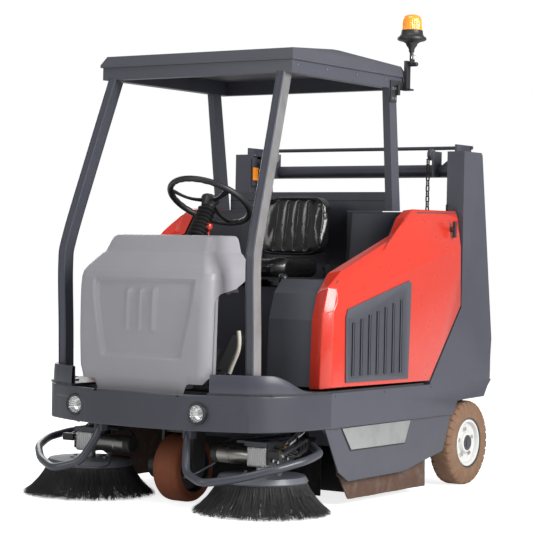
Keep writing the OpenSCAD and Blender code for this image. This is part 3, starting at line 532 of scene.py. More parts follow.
def lathe(profile, segments, material, name, along="X", shape=None):
    """A turned shape from (distance along the axis, radius) points, closed where it meets the axis."""
    verts = []
    for along_axis, radius in profile:
        for i in range(segments):
            a = 2 * math.pi * i / segments
            r = radius + (shape(along_axis, radius, a) if shape else 0)
            if along == "X":
                verts.append((along_axis, r * math.cos(a), r * math.sin(a)))
            elif along == "Y":
                verts.append((r * math.cos(a), along_axis, r * math.sin(a)))
            else:
                verts.append((r * math.cos(a), r * math.sin(a), along_axis))
    faces = grid_faces(len(profile), segments, closed=True)
    for row in (0, len(profile) - 1):
        if profile[row][1] < 0.002:
            faces.append(tuple(range(row * segments, (row + 1) * segments)))
    return mesh_piece(name, verts, faces, material)


def move(piece, x, y, z):
    piece.data.transform(Matrix.Translation((x, y, z)))
    return piece


rim_paint = painted("rim_paint", (0.62, 0.62, 0.60), 0.4)
rim_dark = painted("rim_dark", (0.05, 0.05, 0.055), 0.45)
blocks = 30
# The rim's turned parts, outwards from the tyre: (share of half the tyre's width, radius) points.
wheel_parts = [
    ("rim", [(-0.9, 0.122), (0.93, 0.1225), (0.96, 0.119), (0.93, 0.115), (0.80, 0.112), (0.78, 0.104)],
     96, rim_dark, "charcoal_plastic"),
    ("rim_band", [(0.70, 0.113), (0.90, 0.112), (0.93, 0.109), (0.92, 0.101), (0.80, 0.098), (0.66, 0.096)],
     96, rim_paint, "cast_aluminium"),
    ("rim_dish", [(0.55, 0.112), (0.66, 0.100), (0.60, 0.085), (0.50, 0.070), (0.52, 0.052), (0.80, 0.046),
                  (0.84, 0.042), (0.84, 0.030), (0.78, 0.026), (0.78, 0.001)],
     72, rim_paint, "cast_aluminium"),
    ("hub_cap", [(0.76, 0.038), (0.88, 0.036), (0.92, 0.030), (0.93, 0.001)], 48, rim_dark,
     "charcoal_plastic")]


def shoulder_blocks(along_axis, radius, angle):
    """Cuts a groove between the blocks, deepest at the tyre's shoulders."""
    side = smooth(0.018, 0.050, abs(along_axis))
    edge = abs(((angle * blocks / (2 * math.pi)) % 1) - 0.5) * 2
    return -0.0105 * side * smooth(0.70, 0.86, edge) * smooth(0.150, 0.175, radius)


for name, side in both_sides:
    low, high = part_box("rear_wheel_" + name)
    middle = (low + high) / 2
    tyre_r = (high.z - low.z) / 2
    half = (high.x - low.x) / 2
    tyre_line = [(-half + 0.002, 0.121), (-half, 0.140), (-half + 0.001, tyre_r - 0.030),
                 (-half + 0.004, tyre_r - 0.020), (-half + 0.006, tyre_r - 0.012),
                 (-half + 0.012, tyre_r - 0.004), (-half + 0.020, tyre_r - 0.001)]
    tyre_line += [(-half + 0.024 + i * (2 * half - 0.048) / 8, tyre_r) for i in range(9)]
    tyre_line += [(-x, r) for x, r in reversed(tyre_line[:7])]
    tyre = lathe(tyre_line, blocks * 16, tan_rubber, "rear_tyre_" + name, shape=shoulder_blocks)
    placed(move(tyre, *middle), "wheel_" + name, "tan_tyre", "rear_wheel_" + name, crisp=28)
    for part, line, segments, material, slot in wheel_parts:
        turned = lathe([(half * side * share, r) for share, r in line], segments, material, part + "_" + name)
        placed(move(turned, *middle), "wheel_" + name, slot, crisp=30)
    nut_turns = [2 * math.pi * (i + 0.3) / 5 for i in range(5)]
    nuts = small_bolts("wheel_nuts_" + name,
                       [(middle.x + half * side * 0.56, middle.y + 0.066 * math.cos(a),
                         middle.z + 0.066 * math.sin(a)) for a in nut_turns],
                       "X", 0.010, 0.016, drawn_steel, taper=1)
    placed(nuts, "wheel_" + name, "chrome_trim")


# ---- Front drive wheel --------------------------------------------------------------------------
# A solid polyurethane band on a cast rim, with a shallow moulding groove along both shoulders.
brown_tread = elastomer("brown_tyre", (0.190, 0.056, 0.024), 0.7, 0.3, (0.23, 0.10, 0.06))
low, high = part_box("front_wheel")
middle = (low + high) / 2
wheel_r = (high.z - low.z) / 2
tread = 0.065
drive_line = [(-tread, 0.105), (-tread, 0.132), (-tread + 0.004, 0.139), (-tread + 0.013, 0.146),
              (-tread + 0.018, 0.1475), (-tread + 0.021, 0.1462), (-tread + 0.024, 0.149)]
drive_line += [(-0.03 + i * 0.06 / 4, wheel_r - 0.0003) for i in range(5)]
drive_line += [(-x, r) for x, r in reversed(drive_line[:7])]
drive_tyre = lathe(drive_line, 120, brown_tread, "drive_tyre")
placed(move(drive_tyre, *middle), "drive_wheel", "brown_tyre", "front_wheel", crisp=40)
for side in (-1, 1):
    drive_rim = lathe([(side * 0.064, 0.106), (side * 0.060, 0.100), (side * 0.040, 0.094),
                       (side * 0.040, 0.050), (side * 0.068, 0.042), (side * 0.070, 0.020)], 72, satin_black,
                      "drive_rim")
    placed(move(drive_rim, *middle), "drive_wheel", "black_paint", crisp=30)


# ---- Driver's seat ------------------------------------------------------------------------------
# Foam under glossy black vinyl: a cushion with a rolled front and raised sides, and a backrest with four
# sewn channels and piping round its edge. Both sit in a pressed pan on slide rails.
vinyl_finish = Finish("black_vinyl", (0.006, 0.006, 0.006), 0.26, coat=0.35, coat_rough=0.2, specular=0.55)
vinyl_finish.set("Roughness", vinyl_finish.noise(22.0, 3.0) * 0.16 + 0.20)
vinyl_finish.bump(vinyl_finish.noise(520.0, 3.0, 0.6) + vinyl_finish.noise(46.0, 2.0) * 0.8, 0.10, 0.0006)
vinyl = vinyl_finish.material


def rounded_block(name, centre, half, radius, material, cuts=16):
    """A box with round edges, made of even quads."""
    work = bmesh.new()
    bmesh.ops.create_cube(work, size=2)
    bmesh.ops.subdivide_edges(work, edges=work.edges[:], cuts=cuts, use_grid_fill=True)
    for vert in work.verts:
        spot = Vector([vert.co[i] * half[i] for i in range(3)])
        core = Vector([max(-(half[i] - radius), min(half[i] - radius, spot[i])) for i in range(3)])
        away = spot - core
        vert.co = core + (away.normalized() * radius if away.length > 1e-6 else away) + Vector(centre)
    piece = bmesh_piece(name, work, material)
    piece.data.shade_smooth()
    return piece


def tube(name, points, radius, material, sides=12, closed=False):
    """A round bar or hose through a list of points, smoothed between them."""
    curve = bpy.data.curves.new(name, "CURVE")
    curve.dimensions = "3D"
    line = curve.splines.new("NURBS")
    line.points.add(len(points) - 1)
    for spot, point in zip(line.points, points):
        spot.co = (*point, 1)
    line.use_endpoint_u = not closed
    line.use_cyclic_u = closed
    line.order_u = 4
    line.resolution_u = 6
    curve.bevel_depth = radius
    curve.bevel_resolution = max(1, sides // 4)
    curve.use_fill_caps = True
    shape = bpy.data.objects.new(name, curve)
    bpy.context.scene.collection.objects.link(shape)
    mesh = bpy.data.meshes.new_from_object(shape.evaluated_get(bpy.context.evaluated_depsgraph_get()))
    bpy.data.objects.remove(shape)
    mesh.materials.clear()
    mesh.materials.append(material)
    mesh.shade_smooth()
    piece = bpy.data.objects.new(name, mesh)
    bpy.context.scene.collection.objects.link(piece)
    return piece


def stuffed(piece, seam_depth, reach):
    """Fills the cover as foam does: it swells between the seams, and the seams are held where they are."""
    modify(piece, "REMESH", mode="VOXEL", voxel_size=0.005, use_smooth_shade=True)
    mesh = piece.data
    group = piece.vertex_groups.new(name="seam")
    for vert in mesh.vertices:
        held, pull = seam_depth(vert.co)
        group.add([vert.index], held, "REPLACE")
        vert.co += pull
    before = [vert.co.copy() for vert in mesh.vertices]
    cloth = piece.modifiers.new("cover", "CLOTH")
    cloth.settings.use_pressure = True
    cloth.settings.uniform_pressure_force = 4
    cloth.settings.vertex_group_mass = "seam"
    cloth.settings.effector_weights.gravity = 0
    cloth.settings.quality = 5
    scene = bpy.context.scene
    cloth.point_cache.frame_end = 20
    for moment in range(1, 21):
        scene.frame_set(moment)
        bpy.context.view_layer.update()
    swollen = piece.evaluated_get(bpy.context.evaluated_depsgraph_get()).to_mesh()
    after = [vert.co.copy() for vert in swollen.vertices]
    piece.evaluated_get(bpy.context.evaluated_depsgraph_get()).to_mesh_clear()
    piece.modifiers.clear()
    scene.frame_set(1)
    for vert, old, new in zip(mesh.vertices, before, after):
        moved = new - old
        if moved.length > reach:
            moved *= reach / moved.length
        vert.co = old + moved
    modify(piece, "SUBSURF", levels=1)


low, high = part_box("backrest")
back_mid = Vector(((low.x + high.x) / 2, 0, 1.228))
back_slope = 0.12
channel_x = (-0.088, -0.029, 0.029, 0.088)


def back_front(x, z):
    """How far the wings and the lumbar roll stand out from the backrest's front face."""
    wing = smooth(0.10, 0.17, abs(x)) * 0.016
    return wing + 0.012 * math.exp(-((z - 1.17) / 0.05) ** 2)


def back_seams(spot):
    x, z = spot.x - back_mid.x, spot.z
    front = smooth(0.0, 0.02, 0.014 + back_slope * (z - 1.10) + 0.165 - spot.y)
    near = max(math.exp(-((x - c * (1 - 0.3 * (z - 1.23))) / 0.0042) ** 2) for c in channel_x)
    near = max(near * smooth(1.11, 1.125, z) * smooth(1.352, 1.335, z) if z < 1.35 else 0, 0)
    rim = 1.0 if spot.y > 0.19 + back_slope * (z - 1.10) else 0.0
    return min(1, max(near * front, rim)), Vector((0, 0.008 * near * front, 0))


backrest = rounded_block("backrest_cover", (0, 0, 0), (0.186, 0.032, 0.145), 0.030, vinyl, 22)
for vert in backrest.data.vertices:
    x, y, z = vert.co
    corner = max(0, abs(x) - 0.110) ** 2 + max(0, abs(z) - 0.065) ** 2
    squeeze = 0.071 / math.sqrt(corner) if corner > 0.071 ** 2 else 1
    if squeeze < 1:
        x = math.copysign(0.110 + max(0, abs(x) - 0.110) * squeeze, x) if abs(x) > 0.110 else x
        z = math.copysign(0.065 + max(0, abs(z) - 0.065) * squeeze, z) if abs(z) > 0.065 else z
    z_now = back_mid.z + z
    y_now = 0.145 + 0.031 + back_slope * (z_now - 1.10) + y
    if y < 0:
        y_now -= back_front(x, z_now) * 0.6 - 0.006
    vert.co = (back_mid.x + x, y_now, z_now)
stuffed(backrest, back_seams, 0.010)
placed(backrest, "seat_back", "black_vinyl", "backrest")

low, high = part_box("seat_cushion")
cushion_mid = (low + high) / 2


def cushion_seams(spot):
    x = spot.x - cushion_mid.x
    top = smooth(1.045, 1.062, spot.z)
    near = max(math.exp(-((abs(x) - c) / 0.0045) ** 2) for c in (0.035, 0.108))
    near *= smooth(-0.165, -0.15, spot.y) * (1 - smooth(0.085, 0.10, spot.y))
    return min(1, max(near * top, 1.0 if spot.z < 1.0 else 0)), Vector((0, 0, -0.008 * near * top))


cushion = rounded_block("seat_cushion_cover", cushion_mid, (high - low) / 2, 0.034, vinyl, 22)
for vert in cushion.data.vertices:
    x, y, z = vert.co
    up_here = smooth(low.z + 0.03, high.z, z)
    dish = 0.016 * (1 - smooth(0.095, 0.14, abs(x - cushion_mid.x))) * smooth(-0.19, -0.10, y)
    roll = 0.022 * smooth(low.y + 0.075, low.y, y) if y < low.y + 0.075 else 0
    vert.co.z = z - (dish + roll) * up_here
    if y < low.y + 0.09:
        corner = smooth(0.12, 0.185, abs(x - cushion_mid.x)) * smooth(low.y + 0.09, low.y, y)
        vert.co.y += 0.035 * corner
stuffed(cushion, cushion_seams, 0.009)
placed(cushion, "seat", "black_vinyl", "seat_cushion")

# Piping is sewn into the seam round the backrest's front edge.
piping_line = []
for turn in range(40):
    a = 2 * math.pi * turn / 40
    c, s = math.cos(a), math.sin(a)
    x = math.copysign(abs(c) ** 0.42, c) * 0.173
    z = back_mid.z + math.copysign(abs(s) ** 0.42, s) * 0.131
    piping_line.append((back_mid.x + x, 0.1475 + back_slope * (z - 1.10) - back_front(x, z) * 0.6 + 0.006, z))
piping = tube("backrest_piping", piping_line, 0.0035, vinyl, closed=True)
placed(piping, "seat_back", "black_vinyl")


# ---- Bowed apron and headlights -----------------------------------------------------------------
# One sheet bent round the front carries both headlights. A shallow field is pressed round each lamp, and
# the top edge is notched twice, where the hood's lip is screwed down.
low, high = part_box("front_apron")
lamp_low, lamp_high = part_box("headlight_lenses")
lamp_x = lamp_high.x - 0.038
lamp_z = (lamp_low.z + lamp_high.z) / 2
lamp_r = 0.040
apron_half = high.x


def bow(x):
    return low.y + 0.125 * (abs(x) / 0.52) ** 2.4


def curve_through(points, steps):
    """A smooth curve through a few points (Catmull-Rom)."""
    made = []
    ends = [points[0] * 2 - points[1]] + list(points) + [points[-1] * 2 - points[-2]]
    for p0, p1, p2, p3 in zip(ends, ends[1:], ends[2:], ends[3:]):
        for i in range(steps):
            t = i / steps
            made.append(0.5 * (2 * p1 + (p2 - p0) * t + (2 * p0 - 5 * p1 + 4 * p2 - p3) * t * t
                               + (3 * p1 - p0 - 3 * p2 + p3) * t ** 3))
    return made + [points[-1]]


half_line = curve_through([Vector((i * 0.044, bow(i * 0.044))) for i in range(12)]
                          + [Vector((0.533, -0.862)), Vector((0.590, -0.800)), Vector((0.638, -0.690)),
                             Vector((0.657, -0.570)), Vector((apron_half, -0.4455))], 12)
apron_line = [Vector((-p.x, p.y)) for p in reversed(half_line[1:])] + half_line
sheet, top_z, low_z = 0.005, high.z, low.z
profile = [(0.0045, low_z), (0.0012, low_z + 0.0012), (0, low_z + 0.0045)]
profile += [(0, low_z + 0.0045 + i * (top_z - low_z - 0.009) / 42) for i in range(1, 42)]
profile += [(0, top_z - 0.0045), (0.0012, top_z - 0.0012), (0.0045, top_z)]


def pressed(x, z):
    """Depth of the field pressed round a lamp."""
    side_x = abs(x) - 0.392
    over = max(abs(side_x) - 0.092, 0)
    rise = max(z - (low_z + 0.062), 0)
    return 0.0022 * (1 - smooth(0.038, 0.043, math.hypot(over, rise)))


verts, keep = [], []
for inset, z in profile:
    for i, spot in enumerate(apron_line):
        before, after = apron_line[max(0, i - 1)], apron_line[min(len(apron_line) - 1, i + 1)]
        along = (after - before).normalized()
        inward = Vector((-along.y, along.x))
        depth = inset + pressed(spot.x, z)
        verts.append((spot.x + inward.x * depth, spot.y + inward.y * depth, z))
columns = len(apron_line)
for face in grid_faces(len(profile), columns):
    x = sum(verts[i][0] for i in face) / 4
    z = sum(verts[i][2] for i in face) / 4
    notch = z > top_z - 0.012 and (-0.205 < x < -0.185 or 0.232 < x < 0.250)
    if math.hypot(abs(x) - lamp_x, z - lamp_z) > lamp_r + 0.001 and not notch:
        keep.append(face)
apron = mesh_piece("bowed_apron", verts, keep, charcoal)
modify(apron, "SOLIDIFY", thickness=sheet * 0.8, offset=-1)
placed(apron, "chassis", "charcoal_paint", "front_apron", crisp=50)

chrome = metal("chrome_trim", (0.86, 0.86, 0.88), 0.12, strength=0.01)
lens_finish = Finish("clear_lens", (0.95, 0.97, 1.0), 0.04, specular=0.9)
lens_finish.set("Alpha", 0.06)
lens_finish.material.surface_render_method = "BLENDED"


def reflector_facets(along_axis, radius, angle):
    """Small cups pressed in the reflector, which make it sparkle."""
    return 0.0022 * abs(math.sin(angle * 8)) * smooth(0.010, 0.018, radius)


bezel_line = [(0.018, 0.0455), (-0.003, 0.0475), (-0.006, 0.0465), (-0.0065, 0.0430), (-0.002, 0.0355),
              (0.012, 0.0350)]
bowl_line = [(-0.003, 0.0355), (0.002, 0.0345), (0.012, 0.029), (0.018, 0.022), (0.021, 0.014),
             (0.020, 0.001)]
bulb_line = [(0.020, 0.009), (0.004, 0.010), (-0.001, 0.008), (-0.0025, 0.001)]
glass_line = [(-0.002, 0.0405), (-0.005, 0.038), (-0.0075, 0.025), (-0.0085, 0.001)]
for side in (-1, 1):
    place = (side * lamp_x, bow(lamp_x) - 0.002, lamp_z)
    bezel = lathe(bezel_line, 72, satin_black, "lamp_bezel", along="Y")
    placed(move(bezel, *place), "chassis", "black_plastic", crisp=35)
    bowl = lathe(bowl_line, 96, chrome, "lamp_reflector", along="Y", shape=reflector_facets)
    placed(move(bowl, *place), "chassis", "chrome_trim", "headlights", crisp=20)
    bulb = lathe(bulb_line, 32, rim_paint, "lamp_bulb", along="Y")
    placed(move(bulb, *place), "chassis", "clear_lens")
    glass = lathe(glass_line, 64, lens_finish.material, "lamp_glass", along="Y")
    placed(move(glass, *place), "chassis", "clear_lens", "headlight_lenses")


# ---- Brush guards -------------------------------------------------------------------------------
# A tube is bent round the front of each side brush. Its bracket hangs under the apron, its rear end is
# clamped at the chassis rail, and a thin hoop behind it keeps cables off the bristles.
guard_grey = painted("guard_paint", (0.046, 0.049, 0.062), 0.32, dust=0.08)
guard_r = 0.017
guard_route = [(0.238, -0.885, 0.352), (0.242, -0.905, 0.290), (0.285, -0.968, 0.178),
               (0.400, -1.0106, 0.146), (0.540, -0.930, 0.172), (0.650, -0.820, 0.210),
               (0.702, -0.690, 0.238), (0.690, -0.560, 0.258), (0.575, -0.460, 0.276),
               (0.545, -0.400, 0.285)]


def rounded_route(route, share=0.45):
    """The route with each corner cut by a short slant on both sides, for a smooth bend."""
    made = [Vector(route[0])]
    for a, b, c in zip(route, route[1:], route[2:]):
        a, b, c = Vector(a), Vector(b), Vector(c)
        made += [b.lerp(a, share), b, b.lerp(c, share)]
    return made + [Vector(route[-1])]


def mirrored(points, side):
    return [(side * p[0], p[1], p[2]) for p in points]


def box_piece(name, lo, hi, material, side=1, radius=0.0015):
    """A box from its low corner to its high corner, mirrored for the right side, with broken edges."""
    centre = [(a + b) / 2 for a, b in zip(lo, hi)]
    half = [(b - a) / 2 for a, b in zip(lo, hi)]
    verts = [(side * (centre[0] + sx * half[0]), centre[1] + sy * half[1], centre[2] + sz * half[2])
             for sx in (-1, 1) for sy in (-1, 1) for sz in (-1, 1)]
    faces = [(0, 1, 3, 2), (4, 6, 7, 5), (0, 4, 5, 1), (2, 3, 7, 6), (0, 2, 6, 4), (1, 5, 7, 3)]
    piece = mesh_piece(name, verts, faces, material, flat=True)
    modify(piece, "BEVEL", width=min(radius, min(half) * 0.4), segments=2)
    return piece


for name, side in both_sides:
    guard = tube("guard_" + name, mirrored(rounded_route(guard_route), side), guard_r, guard_grey, 24)
    placed(guard, "chassis", "guard_paint", "brush_guards")
    for part, lo, hi in (("bracket", (0.218, -0.905, 0.312), (0.262, -0.862, 0.408)),
                         ("clamp", (0.505, -0.430, 0.264), (0.560, -0.386, 0.304)),
                         ("hanger", (0.505, -0.432, 0.262), (0.515, -0.380, 0.402))):
        placed(box_piece("guard_%s_%s" % (part, name), lo, hi, charcoal, side, 0.003), "chassis",
               "charcoal_paint")
    hoop = tube("guard_hoop_" + name, mirrored([(0.300, -0.985, 0.165), (0.245, -0.930, 0.150),
                                                (0.225, -0.860, 0.150), (0.240, -0.800, 0.165),
                                                (0.290, -0.765, 0.205)], side), 0.0045, guard_grey, 12)
    placed(hoop, "chassis", "guard_paint")


# ---- Brush drives -------------------------------------------------------------------------------
# A finned cast gearbox with a drum motor turns each brush. A dark end cap, a clamp band, screws, brass
# fittings and two cables belong to it.
cast_alloy = metal("cast_aluminium", (0.62, 0.62, 0.62), 0.48, strength=0.5)
brass = metal("brass", (0.62, 0.42, 0.16), 0.34)
drum_steel = metal("motor_drum", (0.36, 0.35, 0.33), 0.30, (0.1, 1, 1))
cable_black = elastomer("cable_black", (0.010, 0.010, 0.010), 0.5, 0.03)


def bars(name, boxes, material):
    """Straight bars in one piece. Each box is its (centre, size)."""
    work = bmesh.new()
    for centre, size in boxes:
        bmesh.ops.create_cube(work, size=1, matrix=Matrix.Translation(centre) @ Matrix.Diagonal((*size, 1)))
    return bmesh_piece(name, work, material)


union_line = [(-0.014, 0.006), (-0.014, 0.009), (-0.004, 0.009), (-0.004, 0.0115), (0.004, 0.0115),
              (0.004, 0.008), (0.015, 0.007)]
union_places = ((0.052, 0.018, 24, brass), (0.066, -0.004, 6, brass), (0.050, -0.022, 24, drawn_steel))
# Turned parts on the gearbox's axis, outwards from the gearbox: points, and how far back the axis is.
drive_parts = [
    ("bearing_boss", [(0.040, 0.026), (0.049, 0.024), (0.050, 0.016), (0.046, 0.014), (0.046, 0.001)],
     40, satin_black, "black_paint", 0),
    ("motor_drum", [(-0.052, 0.030), (-0.052, 0.0365), (-0.058, 0.038), (-0.150, 0.038), (-0.152, 0.0395),
                    (-0.160, 0.0395), (-0.162, 0.038), (-0.214, 0.038), (-0.216, 0.0365)],
     64, drum_steel, "cast_aluminium", -0.002),
    ("motor_cap", [(-0.214, 0.036), (-0.216, 0.0395), (-0.242, 0.0395), (-0.248, 0.036), (-0.250, 0.028),
                   (-0.250, 0.001)], 64, black_moulded, "black_plastic", -0.002)]
for name, side in both_sides:
    low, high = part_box("brush_motor_" + name)
    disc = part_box("brush_disc_" + name)
    axis_x, axis_y = (disc[0].x + disc[1].x) / 2, (disc[0].y + disc[1].y) / 2
    motor_z = high.z - 0.046

    def place(x, y, z):
        return (axis_x + side * x, axis_y + y, motor_z + z)

    body = "brush_lift_" + name
    block = rounded_block("gearbox_" + name, place(-0.002, -0.003, 0.002), (0.049, 0.042, 0.043), 0.007,
                          cast_alloy, 10)
    placed(block, body, "cast_aluminium", "brush_motor_" + name)
    # Cooling ribs run round the casting, and a bearing boss stands on its outer end.
    ribs = [(place(-0.044 + i * 0.0115, -0.003, 0.002), (0.0032, 0.088, 0.082)) for i in range(8)]
    ribs += [(place(0.006, -0.003, -0.030 + i * 0.016), (0.084, 0.087, 0.0030)) for i in range(5)]
    gear_ribs = bars("gearbox_ribs_" + name, ribs, cast_alloy)
    modify(gear_ribs, "BEVEL", width=0.0008, segments=2)
    placed(gear_ribs, body, "cast_aluminium")
    for part, line, segments, material, slot, back in drive_parts:
        turned = lathe([(side * x, r) for x, r in line], segments, material, part + "_" + name)
        placed(move(turned, *place(0, back, 0)), body, slot, crisp=35 if part == "bearing_boss" else 30)
    spindle = lathe([(-0.104, 0.012), (-0.068, 0.012), (-0.068, 0.026), (-0.044, 0.026), (-0.041, 0.030),
                     (-0.036, 0.030)], 40, cast_alloy, "brush_spindle_" + name, along="Z")
    placed(move(spindle, *place(0, 0, 0)), body, "cast_aluminium", crisp=35)
    screw_spots = [place(x, -0.047, z) for x in (-0.040, 0.036) for z in (-0.030, 0.034)]
    gear_screws = small_bolts("gearbox_screws_" + name, screw_spots, "Y", 0.0052, 0.006, drawn_steel, 12, 1)
    placed(gear_screws, body, "chrome_trim")
    # The supply cable leaves the end cap and climbs to the arm; brass unions feed the spray nozzle.
    cable = tube("motor_cable_" + name, [place(-0.236, 0.020, 0.034), place(-0.220, 0.034, 0.055),
                                         place(-0.150, 0.045, 0.072), place(-0.090, 0.060, 0.076)],
                 0.0042, cable_black, 12)
    placed(cable, body, "black_rubber")
    for i, (y, z, segments, material) in enumerate(union_places):
        union = lathe(union_line, segments, material, "union_%s_%d" % (name, i))
        placed(move(union, *place(0.040, y, z)), body, "chrome_trim", crisp=30)
    plumbing = tube("brush_hose_" + name, [place(0.040, 0.052, 0.018), place(0.062, 0.060, 0.022),
                                           place(0.070, 0.090, 0.010), place(0.060, 0.120, 0.030),
                                           place(0.020, 0.150, 0.050)], 0.005, cable_black, 12)
    placed(plumbing, body, "black_rubber")


# ---- Broom flaps --------------------------------------------------------------------------------
# Brown skirts seal both sides of the broom; a black one hangs ahead of it from a carrier plate.
black_rubber = elastomer("black_rubber", (0.012, 0.012, 0.012), 0.62, 0.06)
brown_rubber = elastomer("brown_rubber", (0.095, 0.052, 0.036), 0.6, 0.2)
low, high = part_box("rubber_flaps")
flap_x = high.x
steps = 60
for side in (-1, 1):
    verts = []
    for i in range(steps + 1):
        y = -0.330 + i * 0.770 / steps
        ripple = 0.004 * math.sin(i * 0.35) + 0.002 * math.sin(i * 1.3)
        low_edge = 0.028 + 0.112 * (1 - smooth(-0.330, -0.222, y))
        for j in range(9):
            t = j / 8
            z = low_edge + (0.327 - low_edge) * t
            verts.append((side * (flap_x - 0.003 + ripple * (1 - t) * 0.6 - 0.003), y, z))
    flap = mesh_piece("side_flap", verts, grid_faces(steps + 1, 9), brown_rubber)
    modify(flap, "SOLIDIFY", thickness=0.006, offset=0)
    placed(flap, "chassis", "brown_rubber", "rubber_flaps", crisp=40)
front_flap = box_piece("front_flap", (-0.405, -0.115, 0.012), (0.405, -0.107, 0.250), black_rubber)
placed(front_flap, "chassis", "black_rubber", "rubber_flaps")
flap_carrier = box_piece("flap_carrier", (-0.455, -0.120, 0.240), (0.455, -0.115, 0.427), charcoal)
placed(flap_carrier, "chassis", "charcoal_paint")


# ---- Canopy, posts and bulkhead -----------------------------------------------------------------
# A moulded canopy is bolted on a welded frame whose posts are folded channels. Black discs on the channels'
# outer faces paint the shade inside the bolt holes for doors.
finish_node("roof_panel", charcoal_moulded, 0.007)
post_foot, post_knee, post_top = (0.528, -0.805, 0.512), (0.528, -0.825, 1.087), (0.480, -0.550, 1.868)
# Each straight run of a post, with the shares of it where its holes are.
post_runs = ((post_foot, post_knee, (0.30, 0.62, 0.90)), (post_knee, post_top, (0.08, 0.17, 0.5, 0.86)))
roof_bolt_y = (-0.53, -0.3, -0.05, 0.2, 0.33)
for name, side in both_sides:
    holes = []
    for a, b, shares in post_runs:
        for share in shares:
            spot = [p + (q - p) * share for p, q in zip(a, b)]
            holes.append((side * (spot[0] + 0.0002), spot[1] + 0.012, spot[2]))
    # Thin black discs stand for the holes: painted shade inside them.
    bolts = small_bolts("post_hole_shade_" + name, holes, "X", 0.0048, 0.0008, satin_black, 20)
    placed(bolts, "chassis", "black_plastic")
    frame_bolts = small_bolts("roof_bolts_" + name, [(side * 0.5165, y, 1.905) for y in roof_bolt_y], "X",
                              0.006, 0.004, drawn_steel)
    placed(frame_bolts, "chassis", "chrome_trim")

# Painted shade of a groove across the bulkhead's upper band, and a slanted rubber seal beside the raised box.
band_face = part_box("seat_base")[1].y
# A thin black strip, painted shade in the groove.
seam = box_piece("bulkhead_groove_shade", (-0.462, band_face - 0.0072, 1.352), (0.462, band_face - 0.0058, 1.356),
                 satin_black)
placed(seam, "chassis", "black_paint")
seal_outline = ((0.262, 1.303), (0.292, 1.303), (0.272, 0.992), (0.262, 0.992))
for name, side in both_sides:
    strip = mesh_piece("panel_seal_" + name, [(side * x, 0.3010, z) for x, z in seal_outline], [(0, 1, 2, 3)],
                       satin_black, flat=True)
    placed(strip, "chassis", "black_paint")
    ledge = box_piece("panel_edge_" + name, (0.262, 0.2985, 1.296), (0.455, 0.302, 1.305),
                      charcoal_moulded, side)
    placed(ledge, "chassis", "charcoal_plastic")


# ---- Side skirts --------------------------------------------------------------------------------
# Folded skirts cover the broom chamber. A stainless access plate is let into each, over a black sheet that
# shows as painted shade in the gap behind its slanted front edge, and four hexagon screws hold it.
plate_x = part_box("side_skirts")[1].x
frame_line = [(-0.352, 0.350), (0.256, 0.351), (0.205, 0.242), (-0.272, 0.243)]
plate_line = [(-0.342, 0.347), (0.247, 0.348), (0.198, 0.249), (-0.264, 0.250)]
screw_line = [(-0.30, 0.335), (0.205, 0.335), (0.175, 0.262), (-0.245, 0.262)]
for name, side in both_sides:
    # The black sheet is larger than the plate and paints the shade in the gap round it.
    dark = mesh_piece("skirt_gap_shade_" + name, [(side * (plate_x + 0.0006), y, z) for y, z in frame_line],
                      [(0, 1, 2, 3)], satin_black, flat=True)
    placed(dark, "chassis", "black_paint")
    plate = mesh_piece("skirt_plate_" + name, [(side * (plate_x + 0.0024), y, z) for y, z in plate_line],
                       [(0, 1, 2, 3)], drawn_steel, flat=True)
    modify(plate, "SOLIDIFY", thickness=0.0018, offset=-1 if side > 0 else 1)
    modify(plate, "BEVEL", width=0.0006, segments=2)
    placed(plate, "chassis", "chrome_trim")
    screws = small_bolts("skirt_screws_" + name, [(side * (plate_x + 0.004), y, z) for y, z in screw_line],
                         "X", 0.005, 0.004, drawn_steel)
    placed(screws, "chassis", "chrome_trim")
    band_bolts = small_bolts("band_bolts_" + name, [(side * 0.6655, y, 0.49) for y in (-0.41, 0.0, 0.42)],
                             "X", 0.006, 0.003, charcoal)
    placed(band_bolts, "chassis", "charcoal_paint")


# ---- Steering wheel and boot --------------------------------------------------------------------
# A moulded rim with finger grips behind it on three flat spokes, over a pleated boot on the column.
wheel_mid = Vector((0, -0.440, 1.325))
tilt = Matrix.Rotation(math.radians(-30), 4, "X")
rim_r, grip_r = 0.186, 0.0138
verts = []
segments, around = 168, 16
for i in range(segments):
    a = 2 * math.pi * i / segments
    swell = 1 + 0.05 * math.cos(a * 28)
    for j in range(around):
        b = 2 * math.pi * j / around
        r = grip_r * (swell if math.cos(b) < 0.3 else 1)
        reach = rim_r + r * math.cos(b)
        verts.append(tilt @ Vector((reach * math.cos(a), reach * math.sin(a), r * math.sin(b))) + wheel_mid)
faces = [(i * around + j, i * around + (j + 1) % around, ((i + 1) % segments) * around + (j + 1) % around,
          ((i + 1) % segments) * around + j) for i in range(segments) for j in range(around)]
rim = mesh_piece("steering_rim", verts, faces, black_moulded)
placed(rim, "steering", "black_plastic", "steering_wheel")
for i, a in enumerate((90, 210, 330)):
    way = Vector((math.cos(math.radians(a)), math.sin(math.radians(a)), 0))
    cross = Vector((-way.y, way.x, 0))
    ends = []
    for t in range(9):
        s = t / 8
        reach = 0.020 + (rim_r - 0.026) * s
        wide = 0.016 - 0.007 * math.sin(math.pi * s)
        drop = -0.012 * math.sin(math.pi * min(1, s * 1.1)) - 0.002
        ends += [tilt @ (way * reach + cross * w + Vector((0, 0, drop + h))) + wheel_mid
                 for w, h in ((-wide, -0.004), (wide, -0.004), (wide, 0.004), (-wide, 0.004))]
    spoke = mesh_piece("steering_spoke", ends, grid_faces(9, 4, closed=True), black_moulded)
    modify(spoke, "BEVEL", width=0.002, segments=2, limit_method="ANGLE")
    placed(spoke, "steering", "black_plastic")
